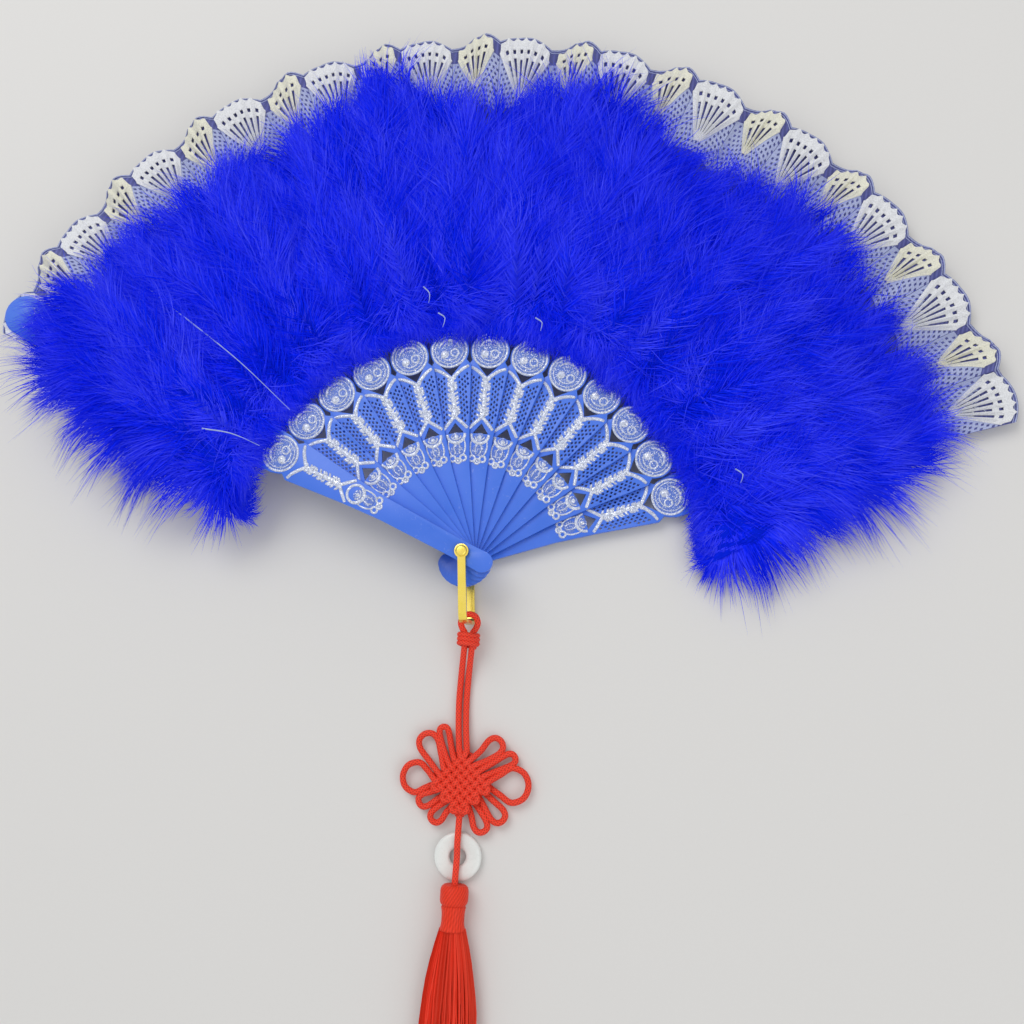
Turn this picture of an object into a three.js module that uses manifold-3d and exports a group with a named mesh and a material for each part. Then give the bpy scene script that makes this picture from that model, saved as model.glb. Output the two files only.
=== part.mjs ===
// A folding fan lying open: thirteen plastic sticks on one pin, a pleated leaf, a feather trim,
// a metal bail, and a red cord with a decorative knot, a white ring and a tassel.
// Millimetres, +Z up. The pivot stands on the origin and the fan opens around +Y.
import * as THREE from "three";
import { mergeVertices } from "three/addons/utils/BufferGeometryUtils.js";
import Module from "manifold-3d";

const wasm = await Module();
wasm.setup();

// Sticks
const STICKS = 13;
const OPEN_STEP = 11.28; // degrees between neighbours when open
const RIB_LENGTH = 210; // pivot to the tip of a rib's strip
const TAIL_LENGTH = 12.6; // pivot to the rounded heel
const TAIL_RADIUS = 4;
const BLADE_THICK = 1;
const BLADE_WAIST = 3.7; // half width at the pivot
const BLADE_NECK = 4.3; // half width where the carving begins
const BLADE_MIDDLE = 5.5; // half width at the lower opening
const BLADE_SHOULDER = 8.2; // half width below the disc
const BLADE_NOTCH = 6.5; // half width where the blade meets the disc
const NECK_AT = 34;
const MIDDLE_AT = 50;
const SHOULDER_AT = 74.6;
const DISC_AT = 81.5;
const DISC_RADIUS = 7.8;
const STRIP_THICK = 0.6;
const STRIP_ROOT = 3.2; // half width under the leaf's inner edge
const STRIP_TIP = 2.2;
const GUARD_THICK = 2;
const GUARD_LENGTH = 216;
const GUARD_TIP = 8.2; // half width near the guard's round end
const LOWER_WINDOW = { base: 47.6, apex: 51.8, half: 3.1 };
const UPPER_WINDOW = { apex: 70.8, half: 4.4, gap: 0.5 };

// Pivot pin and bail
const PIN_RADIUS = 1.4;
const PIN_CLEARANCE = 0.3;
const PIN_HEAD_RADIUS = 2.3;
const PIN_HEAD_THICK = 0.8;
const BAIL_THICK = 1.2;
const BAIL_WIDTH = 3;
const BAIL_EYE_RADIUS = 2.7;
const BAIL_LENGTH = 25.8; // pivot to the middle of the bail's cross piece
const BAIL_BEND = 3.4; // outer radius of its two corners
const BAIL_ANGLE = -82.3; // degrees, the way the bail points
const RUNNING_GAP = 0.3;

// Leaf
const LEAF_INNER = 92;
const LEAF_OUTER = 217;
const LEAF_THICK = 0.3;
const LEAF_GAP = 0.12; // between neighbouring panels at rest
const FOLD_SLACK = 0.075; // air above and below a fold lying between two panels
const SCALLOP_DEPTH = 3.4;
const PLEAT_SPAN = OPEN_STEP / 2;
const PLEAT_LIP = 0.1; // share of a fold's width taken by its crease

// Feather trim
const FEATHER_INNER = 86;
const FEATHER_OUTER = 201;
const FEATHER_HEIGHT = 9;
const FEATHER_EDGE = 1.8; // height of the trim at its inner and outer ends
const FEATHER_GAP = 0.3;
const FEATHER_SPILL = 17; // degrees that the trim's inner end reaches past each guard's sector
const FEATHER_SPILL_TIP = 2; // and its outer end
const FEATHER_DROOP = 15; // how far the part past the front guard hangs down
const FEATHER_EAVES = 9.5; // from that guard's middle line to where it begins to fall
const FEATHER_FALL = 26; // further distance over which it reaches its lowest

// Cord, knot, ring and tassel, with distances measured from the bail's cross piece
const CORD_DIAMETER = 2.4;
const CORD_SIDES = 8;
const TASSEL_ANGLE = -86.5; // degrees, the way the cord runs
const STRAND_HALF = 1.45; // half the distance between the two strands
const LOOP_HALF = 3.3; // half width of the loop round the cross piece
const LOOP_LEVEL = 6.4;
const TIE_NEAR = 4.8;
const TIE_LENGTH = 4;
const TIE_WALL = 1.3;
const KNOT_CENTRE = 60.2;
const KNOT_HALF = 11.2; // half diagonal of the woven middle
const KNOT_FLAT = 3; // half width of its cut corners
const KNOT_THICK = 6.4;
const KNOT_LEVEL = 3.6; // height of its middle
const KNOT_BEVEL = 1.2;
const EAR_LEVEL = 2.6;
const EAR_DIAMETER = 2.3;
const EAR_ROOT_GAP = 0.3; // between the two legs of an ear where it leaves the weave
const EAR_STEPS = 18;
const EAR_SIDES = 6;
const RING_CENTRE = 87.3;
const RING_RADIUS = 9;
const RING_HOLE = 3.1;
const RING_THICK = 3.2;
const HEAD_NEAR = 96.8;
const HEAD_RADIUS = 5.3;
const HEAD_LENGTH = 7.4;
const HEAD_NECK_RADIUS = 4.1;
const HEAD_NECK_LENGTH = 8.6;
const HEAD_LEVEL = 5.5;
const SKIRT_LENGTH = 53.4;
const SKIRT_HALF_WIDTH = 8.4;
const SKIRT_HALF_HEIGHT = 4.6;
const FLOOR_GAP = 0.2; // the cord's pieces lie this far above the lowest face

const PLASTIC = { color: 0x3f78ea, roughness: 0.38, metalness: 0.0 };
const CLOTH = { color: 0x1d2fc8, roughness: 0.85, metalness: 0.0 };
const FEATHER = { color: 0x1226e0, roughness: 0.95, metalness: 0.0 };
const GOLD = { color: 0xd9a93a, roughness: 0.3, metalness: 1.0 };
const RED = { color: 0xe8452c, roughness: 0.8, metalness: 0.0 };
const JADE = { color: 0xe9efec, roughness: 0.35, metalness: 0.0 };

const radians = THREE.MathUtils.degToRad;

// Heights of the stack, from the floor up: pin head, rear eye of the bail, then the sticks
const REAR_EYE_LEVEL = PIN_HEAD_THICK + RUNNING_GAP / 2;
const REAR_GUARD_LEVEL = REAR_EYE_LEVEL + BAIL_THICK + RUNNING_GAP;
const FOLD_SPACE = LEAF_THICK + 2 * FOLD_SLACK; // room between two layers for one fold
const RIB_PITCH = STRIP_THICK + LEAF_THICK + FOLD_SPACE;

// Height of the underside of stick number i, the front guard being 1 and the rear guard 13
function stickLevel(i) {
  const firstRib = REAR_GUARD_LEVEL + GUARD_THICK + LEAF_THICK + FOLD_SPACE;
  if (i === STICKS) {
    return REAR_GUARD_LEVEL;
  }
  if (i === 1) {
    return firstRib + (STICKS - 2) * RIB_PITCH + LEAF_THICK;
  }
  return firstRib + (STICKS - 1 - i) * RIB_PITCH;
}

// Height of the underside of the leaf panel on stick number i
function panelLevel(i) {
  if (i === 1) {
    return stickLevel(1) - LEAF_THICK;
  }
  return stickLevel(i) + (i === STICKS ? GUARD_THICK : STRIP_THICK);
}

// The way stick number i points, in degrees from +X
function stickAngle(i) {
  return 90 + ((STICKS + 1) / 2 - i) * OPEN_STEP;
}

const FRONT_EYE_LEVEL = stickLevel(1) + GUARD_THICK + RUNNING_GAP;
const PIN_TOP = FRONT_EYE_LEVEL + BAIL_THICK + RUNNING_GAP / 2 + PIN_HEAD_THICK;

// Turns a closed geometry into a solid for cutting and joining
function toSolid(geometry) {
  const bare = geometry.index ? geometry.toNonIndexed() : geometry.clone();
  bare.deleteAttribute("normal");
  bare.deleteAttribute("uv");
  const merged = mergeVertices(bare, 1e-5);
  return new wasm.Manifold(
    new wasm.Mesh({
      numProp: 3,
      vertProperties: merged.attributes.position.array,
      triVerts: new Uint32Array(merged.index.array),
    }),
  );
}

function toGeometry(solid) {
  const mesh = solid.getMesh();
  const geometry = new THREE.BufferGeometry();
  geometry.setAttribute("position", new THREE.BufferAttribute(mesh.vertProperties, 3));
  geometry.setIndex(new THREE.BufferAttribute(mesh.triVerts, 1));
  geometry.computeVertexNormals();
  return geometry;
}

// A thin closed body between a lower and an upper surface over a grid of shares u and v
function layered(us, vs, lower, upper) {
  const points = [];
  const triangles = [];
  const columns = us.length;
  const rows = vs.length;
  const at = (side, i, j) => (side * rows + j) * columns + i;
  for (const surface of [lower, upper]) {
    for (const v of vs) {
      for (const u of us) {
        points.push(...surface(u, v));
      }
    }
  }
  const quad = (a, b, c, d) => triangles.push(a, b, c, a, c, d);
  for (let j = 0; j < rows - 1; j++) {
    for (let i = 0; i < columns - 1; i++) {
      quad(at(0, i, j), at(0, i, j + 1), at(0, i + 1, j + 1), at(0, i + 1, j));
      quad(at(1, i, j), at(1, i + 1, j), at(1, i + 1, j + 1), at(1, i, j + 1));
    }
  }
  for (let i = 0; i < columns - 1; i++) {
    quad(at(0, i, 0), at(0, i + 1, 0), at(1, i + 1, 0), at(1, i, 0));
    quad(at(1, i, rows - 1), at(1, i + 1, rows - 1), at(0, i + 1, rows - 1), at(0, i, rows - 1));
  }
  for (let j = 0; j < rows - 1; j++) {
    quad(at(1, 0, j), at(1, 0, j + 1), at(0, 0, j + 1), at(0, 0, j));
    quad(at(0, columns - 1, j), at(0, columns - 1, j + 1), at(1, columns - 1, j + 1),
      at(1, columns - 1, j));
  }
  const geometry = new THREE.BufferGeometry();
  geometry.setAttribute("position", new THREE.Float32BufferAttribute(points, 3));
  geometry.setIndex(triangles);
  geometry.computeVertexNormals();
  return geometry;
}

function shares(steps) {
  return Array.from({ length: steps + 1 }, (_, k) => k / steps);
}

function named(name, geometry, finish) {
  const mesh = new THREE.Mesh(geometry, new THREE.MeshStandardMaterial(finish));
  mesh.name = name;
  return mesh;
}

function flat(shape, thick, curveSegments = 10) {
  return new THREE.ExtrudeGeometry(shape, { depth: thick, bevelEnabled: false, curveSegments });
}

// The carved part of a stick, pointing along +Y, with the pin's hole and two windows if pierced
function bladeShape(pierced) {
  const shape = new THREE.Shape();
  const heel = TAIL_RADIUS - TAIL_LENGTH;
  const notch = Math.asin(BLADE_NOTCH / DISC_RADIUS);
  shape.moveTo(TAIL_RADIUS, heel);
  shape.lineTo(BLADE_WAIST, 0);
  shape.lineTo(BLADE_NECK, NECK_AT);
  shape.lineTo(BLADE_MIDDLE, MIDDLE_AT);
  shape.lineTo(BLADE_SHOULDER, SHOULDER_AT);
  shape.absarc(0, DISC_AT, DISC_RADIUS, notch - Math.PI / 2, 1.5 * Math.PI - notch, false);
  shape.lineTo(-BLADE_SHOULDER, SHOULDER_AT);
  shape.lineTo(-BLADE_MIDDLE, MIDDLE_AT);
  shape.lineTo(-BLADE_NECK, NECK_AT);
  shape.lineTo(-BLADE_WAIST, 0);
  shape.lineTo(-TAIL_RADIUS, heel);
  shape.absarc(0, heel, TAIL_RADIUS, Math.PI, 2 * Math.PI, false);
  const hole = new THREE.Path();
  hole.absarc(0, 0, PIN_RADIUS + PIN_CLEARANCE, 0, 2 * Math.PI, true);
  shape.holes.push(hole);
  if (!pierced) {
    return shape;
  }
  const lower = new THREE.Path();
  lower.moveTo(-LOWER_WINDOW.half, LOWER_WINDOW.base);
  lower.lineTo(0, LOWER_WINDOW.apex);
  lower.lineTo(LOWER_WINDOW.half, LOWER_WINDOW.base);
  lower.closePath();
  const rim = DISC_RADIUS - UPPER_WINDOW.gap;
  const side = Math.asin(UPPER_WINDOW.half / rim);
  const upper = new THREE.Path();
  upper.moveTo(0, UPPER_WINDOW.apex);
  upper.absarc(0, DISC_AT, rim, -Math.PI / 2 - side, -Math.PI / 2 + side, false);
  upper.closePath();
  shape.holes.push(lower, upper);
  return shape;
}

// A thin pierced stick with its long strip under the leaf
function ribGeometry() {
  const blade = toSolid(flat(bladeShape(true), BLADE_THICK));
  const strip = new THREE.Shape();
  strip.moveTo(STRIP_ROOT, DISC_AT);
  strip.lineTo(STRIP_TIP, RIB_LENGTH - STRIP_TIP);
  strip.absarc(0, RIB_LENGTH - STRIP_TIP, STRIP_TIP, 0, Math.PI, false);
  strip.lineTo(-STRIP_ROOT, DISC_AT);
  strip.closePath();
  return toGeometry(blade.add(toSolid(flat(strip, STRIP_THICK, 6))));
}

// A thicker and wider stick with a round end; the front one isn't pierced
function guardGeometry(pierced) {
  const blade = toSolid(flat(bladeShape(pierced), GUARD_THICK));
  const plate = new THREE.Shape();
  const tip = GUARD_LENGTH - GUARD_TIP;
  plate.moveTo(BLADE_SHOULDER, DISC_AT);
  plate.lineTo(GUARD_TIP, tip);
  plate.absarc(0, tip, GUARD_TIP, 0, Math.PI, false);
  plate.lineTo(-BLADE_SHOULDER, DISC_AT);
  plate.closePath();
  return toGeometry(blade.add(toSolid(flat(plate, GUARD_THICK, 14))));
}

// Radius of the leaf's scalloped edge, at a share from -1 to 1 across one panel
function edgeRadius(across) {
  return LEAF_OUTER - SCALLOP_DEPTH * across * across;
}

// One leaf piece between two angles, its underside following a height over the share u
function leafPiece(fromAngle, toAngle, under) {
  const us = [0, PLEAT_LIP, 0.3, 0.5, 0.7, 1 - PLEAT_LIP, 1];
  const surface = (lift) => (u, v) => {
    const outer = edgeRadius(2 * u - 1);
    const radius = LEAF_INNER + (outer - LEAF_INNER) * v;
    const inset = THREE.MathUtils.radToDeg(LEAF_GAP / radius);
    const angle = radians(fromAngle - inset + (toAngle - fromAngle + 2 * inset) * u);
    return [radius * Math.cos(angle), radius * Math.sin(angle), under(u) + lift];
  };
  return layered(us, shares(2), surface(0), surface(LEAF_THICK));
}

function panelGeometry(i) {
  const middle = stickAngle(i);
  const level = panelLevel(i);
  return leafPiece(middle + PLEAT_SPAN / 2, middle - PLEAT_SPAN / 2, () => level);
}

// The free pleat between stick i and the next one: it creases down under stick i
function foldGeometry(i) {
  const middle = stickAngle(i) - OPEN_STEP / 2;
  const first = panelLevel(i);
  const last = panelLevel(i + 1);
  const between = last + LEAF_THICK + FOLD_SLACK;
  const under = (u) => {
    if (u < PLEAT_LIP) {
      return THREE.MathUtils.lerp(first, between, u / PLEAT_LIP);
    }
    if (u > 1 - PLEAT_LIP) {
      return THREE.MathUtils.lerp(between, last, (u - 1 + PLEAT_LIP) / PLEAT_LIP);
    }
    return between;
  };
  return leafPiece(middle + PLEAT_SPAN / 2, middle - PLEAT_SPAN / 2, under);
}

// How far the trim reaches past a guard's sector, at a share of its radial length, in degrees
function spill(v) {
  return FEATHER_SPILL_TIP + (FEATHER_SPILL - FEATHER_SPILL_TIP) * (1 - v) ** 1.1;
}

// The crowned clump of feathers over stick i, which hangs down past the front guard's edge
function featherGeometry(i) {
  const middle = stickAngle(i);
  const ground = i === 1
    ? stickLevel(1) + GUARD_THICK + FEATHER_GAP
    : panelLevel(i) + 2 * LEAF_THICK + 2 * FOLD_SLACK + FEATHER_GAP;
  const surface = (top) => (u, v) => {
    const ripple = 0.5 + 0.5 * Math.cos(4 * Math.PI * v);
    const radius = FEATHER_INNER + (FEATHER_OUTER - FEATHER_INNER) * v;
    const inset = THREE.MathUtils.radToDeg(FEATHER_GAP / 2 / radius);
    const left = middle + OPEN_STEP / 2 + (i === 1 ? spill(v) : 0) - inset;
    const right = middle - OPEN_STEP / 2 - (i === STICKS ? spill(v) : 0) + inset;
    const angle = radians(left + (right - left) * u);
    const crown = Math.sin(Math.PI * v) ** 0.6 * (0.72 + 0.28 * Math.sin(Math.PI * u));
    const rise = FEATHER_EDGE + (FEATHER_HEIGHT - FEATHER_EDGE) * crown * (1 - 0.18 * ripple);
    const past = i === 1 ? Math.max(0, radius * (angle - radians(middle)) - FEATHER_EAVES) : 0;
    const sag = FEATHER_DROOP * Math.min(1, past / FEATHER_FALL) ** 1.5;
    const level = ground - sag + (top ? rise : 0);
    return [radius * Math.cos(angle), radius * Math.sin(angle), level];
  };
  return layered(shares(i === 1 || i === STICKS ? 8 : 4), shares(8), surface(false), surface(true));
}

// A round pin with a flat head at each end
function pinGeometry() {
  const low = PIN_HEAD_THICK;
  const high = PIN_TOP - PIN_HEAD_THICK;
  const profile = [
    [0, 0], [PIN_HEAD_RADIUS, 0], [PIN_HEAD_RADIUS, low], [PIN_RADIUS, low],
    [PIN_RADIUS, high], [PIN_HEAD_RADIUS, high], [PIN_HEAD_RADIUS * 0.7, PIN_TOP], [0, PIN_TOP],
  ].map(([r, z]) => new THREE.Vector2(r, z));
  const geometry = new THREE.LatheGeometry(profile, 20);
  geometry.rotateX(Math.PI / 2);
  return toGeometry(toSolid(geometry));
}

// A strap bent into a U on its side, with a round eye at the end of each leg, pointing along -Y
function bailGeometry() {
  const low = REAR_EYE_LEVEL;
  const high = FRONT_EYE_LEVEL + BAIL_THICK;
  const far = BAIL_LENGTH + BAIL_THICK / 2;
  const strap = new THREE.Shape();
  const inner = BAIL_BEND - BAIL_THICK;
  strap.moveTo(0, low);
  strap.lineTo(far - BAIL_BEND, low);
  strap.absarc(far - BAIL_BEND, low + BAIL_BEND, BAIL_BEND, -Math.PI / 2, 0, false);
  strap.absarc(far - BAIL_BEND, high - BAIL_BEND, BAIL_BEND, 0, Math.PI / 2, false);
  strap.lineTo(0, high);
  strap.lineTo(0, high - BAIL_THICK);
  strap.absarc(far - BAIL_BEND, high - BAIL_BEND, inner, Math.PI / 2, 0, true);
  strap.absarc(far - BAIL_BEND, low + BAIL_BEND, inner, 0, -Math.PI / 2, true);
  strap.lineTo(0, low + BAIL_THICK);
  strap.closePath();
  const bent = new THREE.ExtrudeGeometry(strap, {
    depth: BAIL_WIDTH, bevelEnabled: false, curveSegments: 6,
  });
  // The outline's x runs along the legs and its y is the height
  bent.translate(0, 0, -BAIL_WIDTH / 2);
  bent.rotateX(Math.PI / 2);
  bent.rotateZ(-Math.PI / 2);
  let solid = toSolid(bent);
  const disc = (radius, level, thick) => {
    const cylinder = new THREE.CylinderGeometry(radius, radius, thick, 24);
    cylinder.rotateX(Math.PI / 2);
    cylinder.translate(0, 0, level + thick / 2);
    return toSolid(cylinder);
  };
  solid = solid.add(disc(BAIL_EYE_RADIUS, low, BAIL_THICK));
  solid = solid.add(disc(BAIL_EYE_RADIUS, high - BAIL_THICK, BAIL_THICK));
  const bore = PIN_RADIUS + PIN_CLEARANCE;
  solid = solid.subtract(disc(bore, low - 1, high - low + 2));
  return toGeometry(solid);
}

function roundSection(radius, sides) {
  const shape = new THREE.Shape();
  for (let k = 0; k < sides; k++) {
    const angle = (2 * Math.PI * k) / sides;
    const move = k === 0 ? "moveTo" : "lineTo";
    shape[move](radius * Math.cos(angle), radius * Math.sin(angle));
  }
  shape.closePath();
  return shape;
}

function tube(curve, diameter, sides, steps) {
  return new THREE.ExtrudeGeometry(roundSection(diameter / 2, sides), {
    steps, bevelEnabled: false, extrudePath: curve,
  });
}

// Points here are [across, along, height]: along runs from the bail's cross piece to the tassel
function route(points) {
  return new THREE.CatmullRomCurve3(points.map(([x, along, z]) => new THREE.Vector3(x, -along, z)));
}

const STRAND_REST = FLOOR_GAP + CORD_DIAMETER / 2 + 0.2;
const KNOT_TOP = KNOT_CENTRE - KNOT_HALF;
const KNOT_BOTTOM = KNOT_CENTRE + KNOT_HALF;

// The doubled cord: up one side, round the bail's cross piece, and down the other
function upperCord() {
  const side = [
    [STRAND_HALF, KNOT_TOP - RUNNING_GAP, KNOT_LEVEL],
    [STRAND_HALF, 40, 2.6],
    [STRAND_HALF, 30, STRAND_REST],
    [STRAND_HALF, 21, STRAND_REST + 0.4],
    [STRAND_HALF, 14, 4.2],
    [STRAND_HALF, 9.5, LOOP_LEVEL - 0.2],
    [STRAND_HALF, 6.5, LOOP_LEVEL],
    [STRAND_HALF, 4.4, LOOP_LEVEL],
    [2.6, 2.2, LOOP_LEVEL],
    [LOOP_HALF, 0, LOOP_LEVEL],
    [LOOP_HALF * 0.72, -LOOP_HALF * 0.72, LOOP_LEVEL],
  ];
  const other = side.map(([x, along, z]) => [-x, along, z]).reverse();
  return tube(route([...side, [0, -LOOP_HALF, LOOP_LEVEL], ...other]), CORD_DIAMETER,
    CORD_SIDES, 72);
}

// A flat sleeve of cord wound round the two strands just below the bail
function tieGeometry() {
  const stadium = (half, radius, Kind) => {
    const path = new Kind();
    path.absarc(half, 0, radius, -Math.PI / 2, Math.PI / 2, false);
    path.absarc(-half, 0, radius, Math.PI / 2, 1.5 * Math.PI, false);
    path.closePath();
    return path;
  };
  const bore = CORD_DIAMETER / 2 + RUNNING_GAP;
  const outline = stadium(STRAND_HALF, bore + TIE_WALL, THREE.Shape);
  outline.holes.push(stadium(STRAND_HALF, bore, THREE.Path));
  const geometry = flat(outline, TIE_LENGTH, 8);
  geometry.rotateX(Math.PI / 2);
  geometry.translate(0, -TIE_NEAR, LOOP_LEVEL);
  return geometry;
}

// The ears of the knot, from the middle of its weave: where each leaves, its far end, its width
const EARS = [
  { root: [-4.8, 7.4], tip: [-8.8, 21.4], width: 5.6 },
  { root: [-8.2, 3.8], tip: [-16, 18.2], width: 8 },
  { root: [-9.4, 0], tip: [-24, 1.6], width: 11 },
  { root: [-7.9, -4.3], tip: [-17, -9], width: 6 },
  { root: [-4.6, -7.6], tip: [-11.2, -15.6], width: 6 },
  { root: [4.8, 7.4], tip: [15, 17], width: 6 },
  { root: [8, 4.1], tip: [20.8, 11.2], width: 5.6 },
  { root: [9.2, 0], tip: [26.6, 0.2], width: 15 },
  { root: [7.9, -4.2], tip: [17, -14], width: 7 },
  { root: [4.5, -7.7], tip: [9.6, -18.6], width: 5.6 },
];

// One teardrop loop of cord that starts and ends inside the weave
function earGeometry({ root, tip, width }) {
  const from = new THREE.Vector2(...root);
  const axis = new THREE.Vector2(...tip).sub(from);
  const long = axis.length() - EAR_DIAMETER / 2;
  axis.normalize();
  const half = (width - EAR_DIAMETER) / 2;
  const base = (EAR_DIAMETER + EAR_ROOT_GAP) / 2;
  const outline = [
    [-2, base], [0.6, base], [Math.min(0.35 * long, long - 1.6 * half), base + 0.5 * (half - base)],
    [long - half, half], [long - 0.28 * half, 0.72 * half], [long, 0],
  ];
  const back = outline.slice(0, -1).map(([far, out]) => [far, -out]).reverse();
  const points = [...outline, ...back].map(([far, out]) => {
    const level = far < 0 ? KNOT_LEVEL : EAR_LEVEL;
    const x = from.x + axis.x * far - axis.y * out;
    const y = from.y + axis.y * far + axis.x * out;
    return new THREE.Vector3(x, y, level);
  });
  return tube(new THREE.CatmullRomCurve3(points), EAR_DIAMETER, EAR_SIDES, EAR_STEPS);
}

// The woven middle of the knot as a plain pillow, with its ears
function knotGeometry() {
  const corner = KNOT_HALF - KNOT_FLAT;
  const inset = KNOT_BEVEL;
  const shape = new THREE.Shape();
  const points = [
    [KNOT_FLAT, KNOT_HALF], [-KNOT_FLAT, KNOT_HALF], [-corner - KNOT_FLAT, KNOT_FLAT],
    [-corner - KNOT_FLAT, -KNOT_FLAT], [-KNOT_FLAT, -KNOT_HALF], [KNOT_FLAT, -KNOT_HALF],
    [corner + KNOT_FLAT, -KNOT_FLAT], [corner + KNOT_FLAT, KNOT_FLAT],
  ];
  points.forEach(([x, y], k) => {
    const place = [x * (1 - inset / KNOT_HALF), y * (1 - inset / KNOT_HALF)];
    shape[k === 0 ? "moveTo" : "lineTo"](...place);
  });
  shape.closePath();
  const pillow = new THREE.ExtrudeGeometry(shape, {
    depth: KNOT_THICK - 2 * KNOT_BEVEL, bevelThickness: KNOT_BEVEL, bevelSize: KNOT_BEVEL * 0.9,
    bevelSegments: 3, curveSegments: 2,
  });
  pillow.translate(0, 0, KNOT_LEVEL - KNOT_THICK / 2 + KNOT_BEVEL);
  const solid = EARS.reduce((sum, ear) => sum.add(toSolid(earGeometry(ear))), toSolid(pillow));
  const geometry = toGeometry(solid);
  geometry.translate(0, -KNOT_CENTRE, 0);
  return geometry;
}

// The white ring lies flat, and the cord runs over its face and dips at its hole
function ringGeometry() {
  const middle = (RING_RADIUS + RING_HOLE) / 2;
  const halfWide = (RING_RADIUS - RING_HOLE) / 2;
  const profile = [];
  for (let k = 0; k <= 10; k++) {
    const angle = (2 * Math.PI * k) / 10 + Math.PI / 10;
    const squared = Math.abs(Math.sin(angle)) ** 0.7 * Math.sign(Math.sin(angle));
    profile.push(new THREE.Vector2(middle + halfWide * Math.cos(angle) / Math.cos(Math.PI / 10),
      squared * RING_THICK / 2));
  }
  const geometry = new THREE.LatheGeometry(profile, 28);
  geometry.rotateX(Math.PI / 2);
  geometry.translate(0, -RING_CENTRE, FLOOR_GAP + RING_THICK / 2);
  return toGeometry(toSolid(geometry));
}

function lowerCord() {
  const over = FLOOR_GAP + RING_THICK + RUNNING_GAP + CORD_DIAMETER / 2;
  const points = [
    [0, KNOT_BOTTOM + RUNNING_GAP, KNOT_LEVEL],
    [0, KNOT_BOTTOM + 2.8, KNOT_LEVEL + 0.5],
    [0, RING_CENTRE - RING_RADIUS + 1.2, over],
    [0, RING_CENTRE - RING_HOLE - 2, over + 0.2],
    [0, RING_CENTRE, over - 0.7],
    [0, RING_CENTRE + RING_HOLE + 2, over + 0.2],
    [0, HEAD_NEAR - 1.4, HEAD_LEVEL],
    [0, HEAD_NEAR - RUNNING_GAP, HEAD_LEVEL],
  ];
  return tube(route(points), CORD_DIAMETER, CORD_SIDES, 20);
}

// A bound head with a narrower neck, lying on its side
function headGeometry() {
  const round = 1;
  const neck = HEAD_LENGTH + HEAD_NECK_LENGTH;
  const profile = [
    [0, 0], [HEAD_RADIUS - round, 0], [HEAD_RADIUS, round], [HEAD_RADIUS, HEAD_LENGTH - round],
    [HEAD_NECK_RADIUS, HEAD_LENGTH], [HEAD_NECK_RADIUS, neck], [0, neck],
  ].map(([r, along]) => new THREE.Vector2(r, along));
  const geometry = new THREE.LatheGeometry(profile, 20);
  geometry.rotateX(Math.PI);
  geometry.translate(0, -HEAD_NEAR, HEAD_LEVEL);
  return toGeometry(toSolid(geometry));
}

// The hank of thread below the neck: it spreads and flattens onto the floor
function skirtGeometry() {
  const sides = 18;
  const rings = 8;
  const start = HEAD_NEAR + HEAD_LENGTH + HEAD_NECK_LENGTH + RUNNING_GAP;
  const points = [];
  const triangles = [];
  for (let j = 0; j <= rings; j++) {
    const share = j / rings;
    const spread = share ** 0.7;
    const wide = THREE.MathUtils.lerp(HEAD_NECK_RADIUS, SKIRT_HALF_WIDTH, spread);
    const high = THREE.MathUtils.lerp(HEAD_NECK_RADIUS, SKIRT_HALF_HEIGHT, spread);
    const level = Math.max(FLOOR_GAP + high, THREE.MathUtils.lerp(HEAD_LEVEL, 0, spread));
    for (let k = 0; k < sides; k++) {
      const angle = (2 * Math.PI * k) / sides;
      points.push(wide * Math.cos(angle), -start - SKIRT_LENGTH * share,
        level + high * Math.sin(angle));
    }
  }
  const at = (j, k) => j * sides + (k % sides);
  for (let j = 0; j < rings; j++) {
    for (let k = 0; k < sides; k++) {
      triangles.push(at(j, k), at(j, k + 1), at(j + 1, k + 1));
      triangles.push(at(j, k), at(j + 1, k + 1), at(j + 1, k));
    }
  }
  const first = points.length / 3;
  points.push(0, -start, HEAD_LEVEL);
  points.push(0, -start - SKIRT_LENGTH, FLOOR_GAP + SKIRT_HALF_HEIGHT);
  for (let k = 0; k < sides; k++) {
    triangles.push(first, at(0, k + 1), at(0, k));
    triangles.push(first + 1, at(rings, k), at(rings, k + 1));
  }
  const geometry = new THREE.BufferGeometry();
  geometry.setAttribute("position", new THREE.Float32BufferAttribute(points, 3));
  geometry.setIndex(triangles);
  geometry.computeVertexNormals();
  return geometry;
}

const fan = new THREE.Group();

const rib = ribGeometry();
const frontGuard = guardGeometry(false);
const rearGuard = guardGeometry(true);
for (let i = 1; i <= STICKS; i++) {
  const name = i === 1 ? "front_guard" : i === STICKS ? "rear_guard" : `rib_${i}`;
  const geometry = i === 1 ? frontGuard : i === STICKS ? rearGuard : rib;
  const stick = named(name, geometry, PLASTIC);
  stick.position.z = stickLevel(i);
  stick.rotation.z = radians(stickAngle(i) - 90);
  fan.add(stick);
}
for (let i = 1; i <= STICKS; i++) {
  fan.add(named(`leaf_panel_${i}`, panelGeometry(i), CLOTH));
}
for (let i = 1; i < STICKS; i++) {
  fan.add(named(`leaf_fold_${i}`, foldGeometry(i), CLOTH));
}
for (let i = 1; i <= STICKS; i++) {
  fan.add(named(`feathers_${i}`, featherGeometry(i), FEATHER));
}
fan.add(named("pivot_pin", pinGeometry(), GOLD));

const bail = new THREE.Group();
bail.rotation.z = radians(BAIL_ANGLE + 90);
bail.add(named("bail", bailGeometry(), GOLD));
fan.add(bail);

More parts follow.
